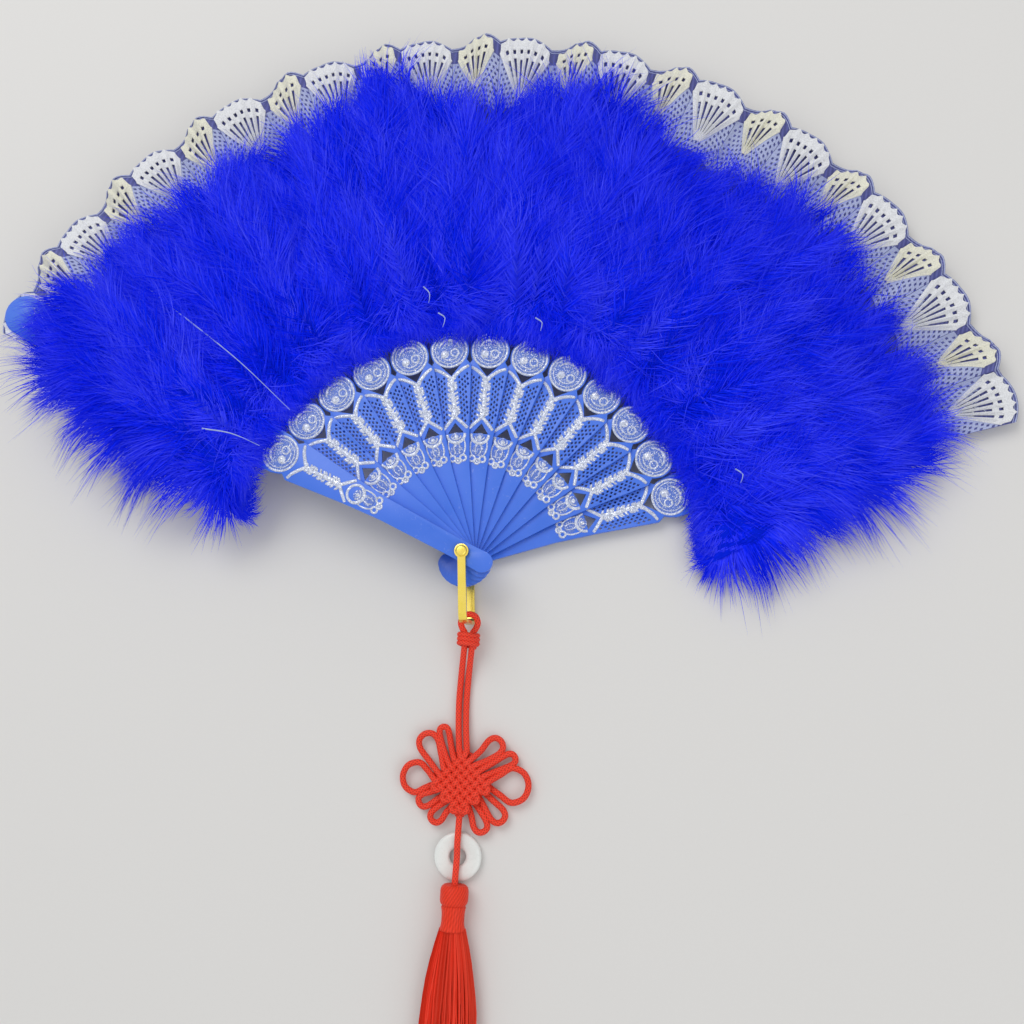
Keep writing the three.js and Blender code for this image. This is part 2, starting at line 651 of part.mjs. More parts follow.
const tassel = new THREE.Group();
tassel.position.set(
  BAIL_LENGTH * Math.cos(radians(BAIL_ANGLE)),
  BAIL_LENGTH * Math.sin(radians(BAIL_ANGLE)),
  0,
);
tassel.rotation.z = radians(TASSEL_ANGLE + 90);
tassel.add(named("cord_upper", upperCord(), RED));
tassel.add(named("cord_tie", tieGeometry(), RED));
tassel.add(named("cord_knot", knotGeometry(), RED));
tassel.add(named("white_ring", ringGeometry(), JADE));
tassel.add(named("cord_lower", lowerCord(), RED));
tassel.add(named("tassel_head", headGeometry(), RED));
tassel.add(named("tassel_skirt", skirtGeometry(), RED));
fan.add(tassel);

export default fan;
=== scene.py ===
"""Dresses an open folding fan: moulded sticks with glitter relief, a laced leaf, a trim of down
feathers, a gold bail, and a red cord with a woven knot, a white ring and a tassel.

Lengths are millimetres unless a name or a unit says otherwise; the frame and the panel's settings
are in metres. The pivot stands on the origin, the fan opens round +Y and lies on the floor.
"""

import math
from contextlib import contextmanager

import bmesh
import bpy
import numpy as np
from bpy.props import FloatProperty, FloatVectorProperty, IntProperty, PointerProperty
from bpy.types import Operator, Panel, PropertyGroup
from mathutils import Matrix, Vector


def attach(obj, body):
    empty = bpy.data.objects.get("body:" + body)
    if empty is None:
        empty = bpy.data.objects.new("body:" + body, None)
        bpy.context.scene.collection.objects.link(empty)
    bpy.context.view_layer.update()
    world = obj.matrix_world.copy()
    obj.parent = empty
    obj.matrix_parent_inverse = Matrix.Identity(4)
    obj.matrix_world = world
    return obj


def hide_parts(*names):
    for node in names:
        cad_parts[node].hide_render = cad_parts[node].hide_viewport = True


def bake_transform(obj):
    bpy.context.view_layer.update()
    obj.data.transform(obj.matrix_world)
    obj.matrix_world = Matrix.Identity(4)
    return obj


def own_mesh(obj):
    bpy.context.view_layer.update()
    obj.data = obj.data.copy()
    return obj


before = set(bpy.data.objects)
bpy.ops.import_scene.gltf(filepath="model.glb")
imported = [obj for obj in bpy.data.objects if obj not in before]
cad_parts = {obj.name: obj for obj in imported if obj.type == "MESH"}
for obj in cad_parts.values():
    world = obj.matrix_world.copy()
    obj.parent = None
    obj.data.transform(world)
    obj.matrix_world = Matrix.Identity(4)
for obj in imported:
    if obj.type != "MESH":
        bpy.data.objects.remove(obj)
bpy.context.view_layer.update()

bl_info = {
    "name": "Feathered folding fan",
    "version": (1, 0, 0),
    "blender": (4, 5, 0),
    "location": "View3D > Sidebar > Fan",
    "description": "Dresses a folding fan with sticks, lace, feathers, cord and tassel",
    "category": "Object",
}

MM = 0.001  # a millimetre, in the scene's metres

# Sticks, as in the part's source
STICKS = 13
OPEN_STEP = 11.28  # degrees between neighbours when open
RIB_LENGTH = 210
TAIL_LENGTH = 12.6
TAIL_RADIUS = 4
BLADE_THICK = 1
BLADE_EDGE = [(0, 3.7), (34, 4.3), (50, 5.5), (74.6, 8.2)]  # radius, half width
BLADE_NOTCH = 6.5  # half width where the blade meets the disc
DISC_AT = 81.5
DISC_RADIUS = 7.8
STRIP_THICK = 0.6
STRIP_LIFT = 0.02  # keeps its underside clear of the blade's
STRIP_ROOT = 3.2
STRIP_TIP = 2.2
GUARD_THICK = 2
GUARD_LENGTH = 216
GUARD_TIP = 8.2
LOWER_WINDOW = {"base": 47.6, "apex": 51.8, "half": 3.1}
UPPER_WINDOW = {"apex": 70.8, "half": 4.4, "gap": 0.5}
PIN_HOLE = 1.7
STICK_BEVEL = 0.12
RELIEF_SUNK = 0.05
HOLE_COLUMNS = (3, 4.1, 5.2, 6.3, 7.35)  # perforations, aside from the middle
HOLE_ROWS = (51.2, 74, 2.1)  # first and last radius, step
HOLE_STRETCH = 1.45  # length of a perforation along the stick against its width
REAR_GUARD_LEVEL = 2.45
REAR_GAP = 0.75  # between the rear guard and the last rib
FRONT_GAP = 0.3  # more than the pitch, under the front guard

# Leaf, as in the part's source
LEAF_INNER = 92
LEAF_OUTER = 217
LEAF_THICK = 0.3
SCALLOP_DEPTH = 3.4
FOLD_SLACK = 0.075
PLEAT_LIP = 0.1
RIB_PITCH = 1.35
PLEAT_SPAN = OPEN_STEP / 2
PLEAT_FLAT, GUARD_FLAT = 0.3, 0.8  # share of a pleat's half width that stays level
BLEND_RADIUS = 140  # the places on a free fold's edges between which its turn is shared
WEFT, WARP = 60, 360  # threads of the cloth in 100 mm
LACE_EDGE = 214.3
LACE_LIFT = 0.36
LACE_THICK, LACE_RIB, LACE_RIM = 0.3, 1.1, 0.35  # the ground, and what ribs and rim add to it
SHELL_WIDTH, SHELL_HEIGHT = (11.8, 12.6), (25, 28)  # of a panel's shell, the width from its middle
SHELL_CURL = (0.3, 1.5)  # how far a shell's rim stands up
FOLD_SHELL = (0.78, 0.86)  # width and height of a fold's shell against a panel's
PANEL_RIBS, FOLD_RIBS = 7, 5
NET_INSET, NET_DEPTH, NET_THICK = 4.5, 24, 0.18
NET_LIFT = LEAF_THICK + 0.02
NET_OVERLAP = 0.8  # how far the net goes on under a shell
EDGE_THREADS = [(0.5, 0.5, 0.1), (1.5, 0.35, 0.05)]  # inset, width, lift over the cloth

# Down: how far it hangs past the guards, in degrees, and how the front edge droops
FEATHER_TIP_SPILL = -1
FEATHER_ROOT_SPILL = 14
FEATHER_DROOP = 15
FEATHER_EAVES = 9.5
FEATHER_FALL = 26
PAD_INNER = 92
PAD_INSET = 12
GUARD_CLEAR, PANEL_CLEAR = 0.3, 1.05  # room under the down, over the front guard and a panel
FILL, END_FILL = 3300, 7500  # barbs all over a share, and over one of the two wider end shares
FRINGE, END_FRINGE = 400, 660  # barbs of the inner edge, over the same shares
PLUME_INSET, PLUME_SPREAD = 10, 76  # the first tip from the outline, and the others inward from it
PLUME_LENGTH = (40, 58)
PLUME_HEADING = 12  # degrees to either side of radial
PLUME_BOW = 0.16  # to either side, in lengths
GOLDEN_SHARE = 0.618  # spreads the plumes evenly across a share
BARB_LEVEL = -1  # of a barb's root, from the top of the pad
DOWN_REST = 0.45  # a height above its panel for the down; the level made from it in the feathers step is not used
# The reach of the down at angles round the pivot
FEATHER_OUTLINE = [
    (-5, 150), (6, 158), (12, 168), (18, 187), (24, 190), (30, 190), (36, 190), (42, 192),
    (51, 200), (57, 192), (66, 182), (74, 195), (78, 205), (82, 206), (88, 195), (93, 192),
    (98, 190), (103, 207), (106, 213), (110, 202), (117, 199), (123, 187), (129, 197), (138, 196),
    (146, 199), (153, 206), (162, 197), (170, 181), (180, 150),
]
QUILL_WIDTH, QUILL_HUMP = (0.65, 0.22), 2.4
# Long pale shafts that show, as (angle, radius) from end to end
QUILLS = [
    [(146.3, 165.8), (146.1, 146.1), (145.8, 115.9), (146.8, 87.0)],
    [(160.8, 111.9), (159.1, 99.7), (158.6, 87.8)],
    [(105.2, 106.4), (104.0, 102.6), (104.6, 99.4)],
    [(102.6, 94.7), (101.0, 91.8), (101.9, 88.7)],
    [(79.6, 95.7), (77.6, 94.1), (77.5, 91.2)],
    [(23.3, 107.4), (21.7, 109.2), (20.3, 107.6)],
]

# Cord, knot, ring and tassel: across, along and height are taken from the bail's cross piece
BAIL_LENGTH = 25.8
BAIL_ANGLE = -82.3
TASSEL_ANGLE = -86.5
CORD_DIAMETER = 2.4
LOOP_LEVEL = 6.4
KNOT_CENTRE = 60.2
KNOT_HALF = 11.2
EAR_LEVEL = 2.6
EAR_DIAMETER = 2.3
RING_CENTRE = 87.3
RING_RADIUS = 9
RING_HOLE = 3.1
RING_THICK = 3.2
HEAD_NEAR = 96.8
HEAD_RADIUS = 5.3
HEAD_LENGTH = 7.4
NECK_RADIUS = 4.1
NECK_LENGTH = 8.6
HEAD_LEVEL = 5.5
SKIRT_NEAR = HEAD_NEAR + HEAD_LENGTH + NECK_LENGTH + 0.3
SKIRT_FAR = 165.5
SKIRT_HALF_WIDTH = 10
SKIRT_HALF_HEIGHT = 4.6
SKIRT_ROOT = (4.7, 4)  # half width and half height of the threads' bundle in the neck
SKIRT_SUNK = 0.9  # how far the threads begin inside the neck
HEART_WIDTH, HEART_SPREAD = 3.6, 3.8  # half width of the skirt's core in the neck, and its growth
HEART_HEIGHT = 3.4  # half height of the core
LOOSE_THREADS = 0.012  # the share that strays outside the skirt
FLOOR_GAP = 0.2

STRAND_ASIDE = 1.45  # half the distance between the doubled cord's strands
# The route of one side of the doubled cord, from the knot up to the loop round the cross piece
STRAIGHT = [
    (48.7, 3.6), (40, 2.6), (30, 1.6), (21, 2.0), (14, 4.2), (9.5, 6.2), (6.5, 6.4), (4.1, 6.4),
]
UPPER_ROUTE = [
    *[(STRAND_ASIDE, along, level) for along, level in STRAIGHT],
    (2.6, 2.2, 6.4), (3.3, 0, 6.4), (2.376, -2.376, 6.4),
]
CORD_BOW = 1.5  # how far the doubled cord bows aside on its way
BOW_FROM, BOW_TO = 9.5, 48.7
# The route of the single cord, from inside the knot over the ring and into the tassel's head
LOWER_ROUTE = [
    (0, 70.6, 3.6), (0, 71.7, 3.6), (0, 74.2, 4.1), (0, 79.5, 4.9), (0, 82.2, 5.1),
    (0, 87.3, 4.2), (0, 92.4, 5.1), (0, 95.4, 5.5), (0, 96.5, 5.5), (0, 102, 5.5), (0, 107.4, 5.5),
]
# Ears of the knot: where each leaves the weave, its far end and its width, +y towards the bail
EARS = {
    "upper_left": [((-4.8, 7.4), (-8.8, 21.4), 5.8), ((-8.2, 3.8), (-16, 18.2), 9.8)],
    "left": [((-9.4, 0), (-24, 1.6), 13.5)],
    "lower_left": [((-7.9, -4.3), (-17, -9), 7), ((-4.6, -7.6), (-11.2, -15.6), 7)],
    "upper_right": [((4.8, 7.4), (15, 17), 8.5), ((8, 4.1), (20.8, 11.2), 6.5)],
    "right": [((9.2, 0), (26.6, 0.2), 15)],
    "lower_right": [((7.9, -4.2), (17, -14), 8), ((4.5, -7.7), (9.6, -18.6), 7.5)],
}

# The camera, found from the photograph: its place, and the frame's directions
CAMERA_PLACE = (65.38, -41.09, 397.43)
CAMERA_RIGHT = (0.9877, 0.1111, -0.1100)
CAMERA_DOWN = (0.0924, -0.9823, -0.1628)
CAMERA_FORWARD = (-0.1261, 0.1506, -0.9805)
CAMERA_LENS = 35.92  # mm, on a 36 mm square frame


def rgb(code):
    """Linear colour of a six-digit display colour."""
    shares = [int(code[k : k + 2], 16) / 255 for k in (0, 2, 4)]
    return tuple(((c + 0.055) / 1.055) ** 2.4 if c > 0.04045 else c / 12.92 for c in shares)


def colour_setting(name, description, code):
    return FloatVectorProperty(
        name=name, description=description, subtype="COLOR", size=3, min=0, max=1,
        default=rgb(code),
    )


def length_setting(name, description, default):
    return FloatProperty(
        name=name, description=description, unit="LENGTH", subtype="DISTANCE", min=0,
        precision=5, default=default,
    )


class FanStageSettings(PropertyGroup):
    """The floor and the lamps."""

    floor: colour_setting("Floor", "Colour of the plain floor", "dddcda")
    key: FloatProperty(
        name="Key lamp", description="Power of the key lamp", unit="POWER", default=7.6
    )
    fill: FloatProperty(
        name="Fill lamp", description="Power of the fill lamp", unit="POWER", default=3.2
    )
    sky: FloatProperty(name="Sky", description="Strength of the even light", default=0.62)


class FanStickSettings(PropertyGroup):
    """The moulded sticks and their relief."""

    plastic: colour_setting("Plastic", "Colour of the moulded sticks", "2d70ec")
    glitter: colour_setting("Glitter", "Colour of the raised decoration", "d3dcf3")
    hole: length_setting("Perforation", "Half width of one perforation", 0.00048)
    relief: length_setting("Relief", "Height of the raised lines", 0.00042)


class FanLeafSettings(PropertyGroup):
    """The pleated cloth and its lace."""

    cloth: colour_setting("Cloth", "Colour of the thin cloth", "1c2c9c")
    cream: colour_setting("Cream lace", "Colour of the lace on the panels", "f5f7fb")
    # the lace on the free folds: the same lace, tinted yellower as painted light and shade of the
    # tilted folds
    straw: colour_setting("Straw lace", "Colour of the lace on the free folds", "f7f6e4")
    silver: colour_setting("Thread", "Colour of the net and the couched thread", "b9c3ec")
    thickness: length_setting("Thickness", "Thickness of the cloth", 0.00025)
    rise: length_setting("Pleat", "Height of the pleats at the outer edge", 0.0026)
    seed: IntProperty(name="Seed", description="Seed of the lace's unevenness", default=11)


class FanFeatherSettings(PropertyGroup):
    """The trim of down."""

    blue: colour_setting("Down", "Colour of the down", "0a2aff")
    quill: colour_setting("Quill", "Colour of the shafts", "9cb4f2")
    plumes: IntProperty(name="Plumes", description="Plumes in each share", default=7)
    barbs: IntProperty(name="Barbs", description="Barbs of each plume", default=275)
    barb: length_setting("Barb", "Thickness of a barb at its root", 0.00054)
    curl: length_setting("Curl", "How far a barb's tip bends aside", 0.012)
    # the padding's dark colour is painted shade under the barbs
    pad: length_setting("Padding", "Height of the dark down under the barbs", 0.0052)
    seed: IntProperty(name="Seed", description="Seed of the down", default=21)


class FanMetalSettings(PropertyGroup):
    """The pin and the bail."""

    gold: colour_setting("Gold", "Colour of the pin and the bail", "f9dc4c")
    bevel: length_setting("Bevel", "Rounding of the metal's edges", 0.00025)


class FanTasselSettings(PropertyGroup):
    """The cord, the knot, the ring and the tassel."""

    red: colour_setting("Cord", "Colour of the cord and the thread", "fa3710")
    stone: colour_setting("Ring", "Colour of the ring", "eef1ee")
    threads: IntProperty(name="Threads", description="Threads in the skirt", min=1, default=560)
    thread: length_setting("Thread", "Thickness of one thread", 0.00062)
    seed: IntProperty(name="Seed", description="Seed of the loose threads", default=4)


class Wire:
    """The value of a node's output, for arithmetic; each step adds one Math node."""

    def __init__(self, tree, socket):
        self.tree = tree
        self.socket = socket

    def step(self, operation, *values):
        return self.tree.node("ShaderNodeMath", {"operation": operation}, dict(enumerate(values)))

    def other(self, out):
        """Another output of the same node."""
        return Wire(self.tree, self.socket.node.outputs[out])

    def __add__(self, other):
        return self.step("ADD", self, other)

    __radd__ = __add__

    def __sub__(self, other):
        return self.step("SUBTRACT", self, other)

    def __rsub__(self, other):
        return self.step("SUBTRACT", other, self)

    def __mul__(self, other):
        return self.step("MULTIPLY", self, other)

    __rmul__ = __mul__

    def __gt__(self, other):
        return self.step("GREATER_THAN", self, other)

    def __lt__(self, other):
        return self.step("LESS_THAN", self, other)

    def sine(self):
        return self.step("SINE", self)

    def larger(self, other):
        return self.step("MAXIMUM", self, other)


class NodeTree:
    """A tree whose nodes are added one by one."""

    def __init__(self, tree):
        self.tree = tree

    def node(self, kind, settings=None, sockets=None, out=0):
        """Adds a node: its settings first, then the values or links of its sockets."""
        made = self.tree.nodes.new(kind)
        for name, value in (settings or {}).items():
            setattr(made, name, value)
        for key, value in (sockets or {}).items():
            for each in value if isinstance(value, list) else [value]:
                self.feed(made.inputs[key], each)
        return Wire(self, made.outputs[out])

    def feed(self, socket, value):
        """Links a wire to a socket, or sets its value; a colour may leave out its alpha."""
        if isinstance(value, Wire):
            self.tree.links.new(value.socket, socket)
        elif socket.type == "RGBA" and len(value) == 3:
            socket.default_value = (*value, 1)
        else:
            socket.default_value = value


class Finish(NodeTree):
    """One node-based material round a Principled shader."""

    def __init__(self, name, **constants):
        self.material = bpy.data.materials.new(name)
        self.material.use_nodes = True
        super().__init__(self.material.node_tree)
        self.done(**constants)

    def place(self):
        """The point's own coordinates, in metres."""
        return self.node("ShaderNodeTexCoord", out="Object")

    def across_and_along(self):
        """The two parts of the UV."""
        uv = self.node("ShaderNodeTexCoord", out="UV")
        across = self.node("ShaderNodeSeparateXYZ", None, {"Vector": uv}, out="X")
        return across, across.other("Y")

    def cells(self, scale, randomness, out):
        """Small cells: each cell's own colour, or the distance from its middle."""
        sockets = {"Vector": self.place(), "Scale": scale, "Randomness": randomness}
        return self.node("ShaderNodeTexVoronoi", None, sockets, out)

    def attribute(self, name):
        return self.node("ShaderNodeAttribute", {"attribute_name": name}, out="Fac")

    def noise(self, scale, detail=3, roughness=0.5, distortion=0, place=None):
        """Even noise from 0 to 1, at the point's own place if no other is given."""
        sockets = {
            "Vector": place or self.place(), "Scale": scale, "Detail": detail,
            "Roughness": roughness, "Distortion": distortion,
        }
        return self.node("ShaderNodeTexNoise", None, sockets)

    def mix(self, share, first, second):
        """A colour between two colours, by the sockets of the node's colour form."""
        sockets = {0: share, 6: first, 7: second}
        return self.node("ShaderNodeMix", {"data_type": "RGBA"}, sockets, out=2)

    def ramp(self, value, *stops):
        """A colour that goes through stops, each a value and a colour."""
        colour = self.node("ShaderNodeValToRGB", None, {"Fac": value})
        elements = colour.socket.node.color_ramp.elements
        while len(elements) < len(stops):
            elements.new(1)
        for element, (at, shade) in zip(elements, stops):
            element.position = at
            element.color = (*shade, 1)
        return colour

    def bump(self, height, depth, strength):
        """A normal from a height of 0 to 1, at a depth in metres."""
        sockets = {"Height": height, "Distance": depth, "Strength": strength}
        return self.node("ShaderNodeBump", None, sockets)

    def done(self, **sockets):
        """Links or sets the shader's sockets and gives the material."""
        shader = self.tree.nodes["Principled BSDF"]
        for name, value in sockets.items():
            self.feed(shader.inputs[name.replace("_", " ")], value)
        return self.material


def darker(colour, share):
    return tuple(c * share for c in colour)


def lighter(colour, share):
    return tuple(c + (1 - c) * share for c in colour)


def moulded_plastic(colour):
    """Glossy blue plastic with faint flow marks and scuffs."""
    finish = Finish("moulded_plastic", Coat_Roughness=0.18, IOR=1.49, Specular_IOR_Level=0.35)
    cloudy = finish.noise(55, 3)
    grain = finish.noise(1400, 2)
    scuff = finish.noise(420, 4, 0.7, 1.5)
    base = finish.mix(cloudy, darker(colour, 0.82), lighter(colour, 0.07))
    worn = finish.mix((scuff > 0.66) * 0.25, base, lighter(colour, 0.35))
    return finish.done(
        Base_Color=worn,
        Roughness=0.27 + 0.16 * scuff,
        Coat_Weight=0.25 - 0.15 * cloudy,
        Normal=finish.bump(grain + 2 * cloudy, 0.00006, 0.5),
    )


def glitter_paint(name, colour, bare, under=(0, 0, 0)):
    """Silver-white paint full of small flakes, which leave a share of what is under them bare."""
    finish = Finish(name, IOR=1.5)
    flake = finish.cells(3600, 1, "Color")
    pick = finish.node("ShaderNodeSeparateColor", None, {"Color": flake}, out="Red")
    tilt = pick.other("Green")
    tone = finish.ramp(
        pick, (0, darker(colour, 0.5)), (0.35, darker(colour, 0.86)), (0.75, colour),
        (1, (1, 1, 1)),
    )
    gap = (tilt < bare) * 0.85
    return finish.done(
        Base_Color=finish.mix(gap, tone, under),
        Metallic=(pick > 0.72) * (1 - gap) * 0.75,
        Roughness=0.18 + 0.45 * tilt,
        Normal=finish.bump(tilt, 0.00012, 0.8),
    )


def polished_gold(colour):
    """Thin bright plating with fine scratches."""
    finish = Finish("polished_gold", Metallic=1)
    patch = finish.noise(160, 3)
    sockets = {"Vector": finish.place(), "Scale": (2600, 160, 2600)}
    drawn = finish.node("ShaderNodeMapping", None, sockets)
    scratch = finish.noise(1, 3, 0.7, place=drawn)
    return finish.done(
        Base_Color=finish.mix(patch, darker(colour, 0.86), lighter(colour, 0.15)),
        Roughness=0.16 + 0.2 * scratch,
        Normal=finish.bump(scratch, 0.00003, 0.6),
    )


def braided_cord(colour):
    """Smooth braided cord: strands cross in two slanting families along the UV, with painted shade
    in the grooves between them.
    """
    finish = Finish("braided_cord", Specular_IOR_Level=0.2)
    around, along = finish.across_and_along()
    strands = 2 * math.pi * 6
    left = (around * strands + along * (strands * 0.8)).sine()
    right = (around * strands - along * (strands * 0.8)).sine()
    strand = left.larger(right) * 0.5 + 0.5
    hair = finish.noise(2600, 2)
    wide = finish.noise(90, 2)
    # painted shade: the colour darkens between the strands, where the grooves lie in shade
    body = finish.mix(strand, darker(colour, 0.45), lighter(colour, 0.02))
    return finish.done(
        Base_Color=finish.mix(0.2 * wide, body, lighter(colour, 0.1)),
        Roughness=0.62 - 0.18 * strand,
        Normal=finish.bump(strand + 0.3 * hair, 0.00016, 0.9),
    )


def floss(colour):
    """Shiny thread whose shade changes from one thread to the next."""
    finish = Finish("tassel_floss", Specular_IOR_Level=0.15)
    tone = finish.attribute("tone")
    fine = finish.noise(3200, 2)
    body = finish.mix(tone, darker(colour, 0.5), lighter(colour, 0.02))
    return finish.done(
        Base_Color=finish.mix(0.25 * fine, body, lighter(colour, 0.04)),
        Roughness=0.5 - 0.15 * tone,
        Normal=finish.bump(fine, 0.00008, 0.5),
    )


def white_stone(colour):
    """Milky polished stone with soft clouds."""
    finish = Finish("white_stone", Subsurface_Weight=0.15, Subsurface_Radius=(0.002, 0.002, 0.002))
    cloud = finish.noise(180, 4, 0.6, 0.8)
    pit = finish.noise(1500, 3)
    return finish.done(
        Base_Color=finish.mix(cloud, darker(colour, 0.8), colour),
        Roughness=0.22 + 0.14 * pit,
        Coat_Weight=0.3 - 0.2 * pit,
        Normal=finish.bump(pit, 0.00004, 0.4),
    )


def floor_finish(colour):
    finish = Finish("plain_floor")
    speck = finish.noise(900, 2)
    base = finish.mix(speck, darker(colour, 0.98), colour)
    return finish.done(Base_Color=base, Roughness=0.85 + 0.05 * speck)


def in_scene(name, data):
    """A new object of a mesh, a lamp or a camera, linked to the scene."""
    made = bpy.data.objects.new(name, data)
    bpy.context.scene.collection.objects.link(made)
    return made


def dress(piece, body, node=None):
    """Lets a piece ride on a body, and replace a solid if it stands for one."""
    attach(piece, body)
    if node:
        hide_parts(node)


def evaluated(obj):
    """A mesh of the object with its modifiers at work."""
    graph = bpy.context.evaluated_depsgraph_get()
    return bpy.data.meshes.new_from_object(obj.evaluated_get(graph))


@contextmanager
def edited(mesh):
    """A mesh opened for editing, and written back at the end."""
    shape = bmesh.new()
    shape.from_mesh(mesh)
    yield shape
    shape.to_mesh(mesh)
    shape.free()


def facing_out(obj):
    """Turns a closed mesh's faces outward."""
    with edited(obj.data) as shape:
        bmesh.ops.recalc_face_normals(shape, faces=shape.faces)
    return obj


class Form:
    """Points, faces and UVs gathered for one mesh, in millimetres."""

    def __init__(self):
        self.points, self.faces, self.corners, self.slots = [], [], [], []
        self.count = 0

    def add(self, points, faces, corners=None, slot=0):
        """Adds a closed part; corners holds a UV for each corner of each face."""
        self.points.append(np.asarray(points, float))
        self.faces += [tuple(v + self.count for v in face) for face in faces]
        self.corners += corners or [(0.0, 0.0)] * sum(len(face) for face in faces)
        self.slots += [slot] * len(faces)
        self.count += len(points)
        return self

    def object(self, name, *finishes, crease=None):
        """The gathered mesh as an object, smooth but for edges sharper than the crease angle."""
        mesh = bpy.data.meshes.new(name)
        mesh.from_pydata((np.concatenate(self.points) * MM).tolist(), [], self.faces)
        layer = mesh.uv_layers.new(name="UVMap")
        layer.data.foreach_set("uv", np.array(self.corners, np.float32).ravel())
        for finish in finishes:
            mesh.materials.append(finish)
        mesh.polygons.foreach_set("material_index", self.slots)
        mesh.shade_smooth()
        if crease is not None:
            mesh.set_sharp_from_angle(angle=math.radians(crease))
        return in_scene(name, mesh)


def through(points, step):
    """A smooth line through points (a centripetal Catmull-Rom spline), a point about every step."""
    p = np.asarray(points, float)
    p = np.concatenate([[2 * p[0] - p[1]], p, [2 * p[-1] - p[-2]]])
    pieces = []
    for a, b, c, d in zip(p, p[1:], p[2:], p[3:]):
        gaps = [max(float(np.linalg.norm(y - x)), 1e-6) ** 0.5 for x, y in ((a, b), (b, c), (c, d))]
        t0, t1, t2, t3 = np.cumsum([0, *gaps])
        count = max(1, round(float(np.linalg.norm(c - b)) / step))
        t = np.linspace(t1, t2, count, endpoint=False)[:, None]
        ab = ((t1 - t) * a + (t - t0) * b) / (t1 - t0)
        bc = ((t2 - t) * b + (t - t1) * c) / (t2 - t1)
        cd = ((t3 - t) * c + (t - t2) * d) / (t3 - t2)
        abc = ((t2 - t) * ab + (t - t0) * bc) / (t2 - t0)
        bcd = ((t3 - t) * bc + (t - t1) * cd) / (t3 - t1)
        pieces.append(((t2 - t) * abc + (t - t1) * bcd) / (t2 - t1))
    return np.concatenate([*pieces, p[-2:-1]])


def around(count):
    """Angles round a circle in equal steps."""
    return 2 * np.pi * np.arange(count) / count


def unit(vectors):
    return vectors / np.linalg.norm(vectors, axis=-1, keepdims=True)


def carried_across(along):
    """Sideways directions that turn as little as they can from ring to ring."""
    first = np.cross((0.0, 0.0, 1.0), along[0])
    across = [unit(first if np.linalg.norm(first) > 0.1 else np.cross((1, 0, 0), along[0]))]
    for direction in along[1:]:
        across.append(unit(across[-1] - direction * (across[-1] @ direction)))
    return np.array(across)


def skin(sides, levels):
    """Faces and UVs over rings of points, one ring at each level, with a point past both ends."""
    faces, corners = [], []
    for i, (low, high) in enumerate(zip(levels, levels[1:])):
        for j in range(sides):
            k = (j + 1) % sides
            near, far = i * sides, (i + 1) * sides
            faces.append((near + j, near + k, far + k, far + j))
            left, right = j / sides, (j + 1) / sides
            corners += [(left, low), (right, low), (right, high), (left, high)]
    last = (len(levels) - 1) * sides
    for j in range(sides):
        k = (j + 1) % sides
        faces += [(last + sides, k, j), (last + sides + 1, last + j, last + k)]
        corners += [(j / sides, levels[0])] * 3 + [(j / sides, levels[-1])] * 3
    return faces, corners


def rod(path, width, height=None, sides=10, upright=True):
    """A rod along a path with rounded ends: points, faces and UVs. Width lies flat if upright."""
    path = np.asarray(path, float)
    rings = len(path)
    along = unit(np.gradient(path, axis=0))
    across = unit(np.cross((0.0, 0.0, 1.0), along)) if upright else carried_across(along)
    rise = np.cross(along, across)
    half_width, half_height = (
        np.broadcast_to(np.asarray(size, float) / 2, rings)
        for size in (width, width if height is None else height)
    )
    turn = around(sides)
    points = (
        path[:, None]
        + across[:, None] * (np.cos(turn)[None, :] * half_width[:, None])[..., None]
        + rise[:, None] * (np.sin(turn)[None, :] * half_height[:, None])[..., None]
    ).reshape(-1, 3)
    steps = np.linalg.norm(np.diff(path, axis=0), axis=1)
    distance = np.concatenate([[0], np.cumsum(steps)]) / (2 * np.pi * half_width.mean())
    bulge = 0.45
    ends = [
        path[0] - along[0] * half_height[0] * bulge, path[-1] + along[-1] * half_height[-1] * bulge
    ]
    return np.concatenate([points, ends]), *skin(sides, distance)


def turned(rings, first, last):
    """A closed skin over rings of points, each of the same number, with a centre at both ends."""
    points = np.concatenate([*rings, [first], [last]])
    return points, *skin(len(rings[0]), np.linspace(0, 1, len(rings)))


def hang(points):
    """Places of points that are given across, along and above the bail's cross piece."""
    points = np.asarray(points, float)
    bail, turn = math.radians(BAIL_ANGLE), math.radians(TASSEL_ANGLE + 90)
    x, y = points[..., 0], -points[..., 1]
    return np.stack([
        BAIL_LENGTH * math.cos(bail) + x * math.cos(turn) - y * math.sin(turn),
        BAIL_LENGTH * math.sin(bail) + x * math.sin(turn) + y * math.cos(turn),
        points[..., 2],
    ], axis=-1)


def flattened(wave, power):
    """A sine or cosine that stays longer near its limits: a section between round and square."""
    return math.copysign(abs(wave) ** power, wave)


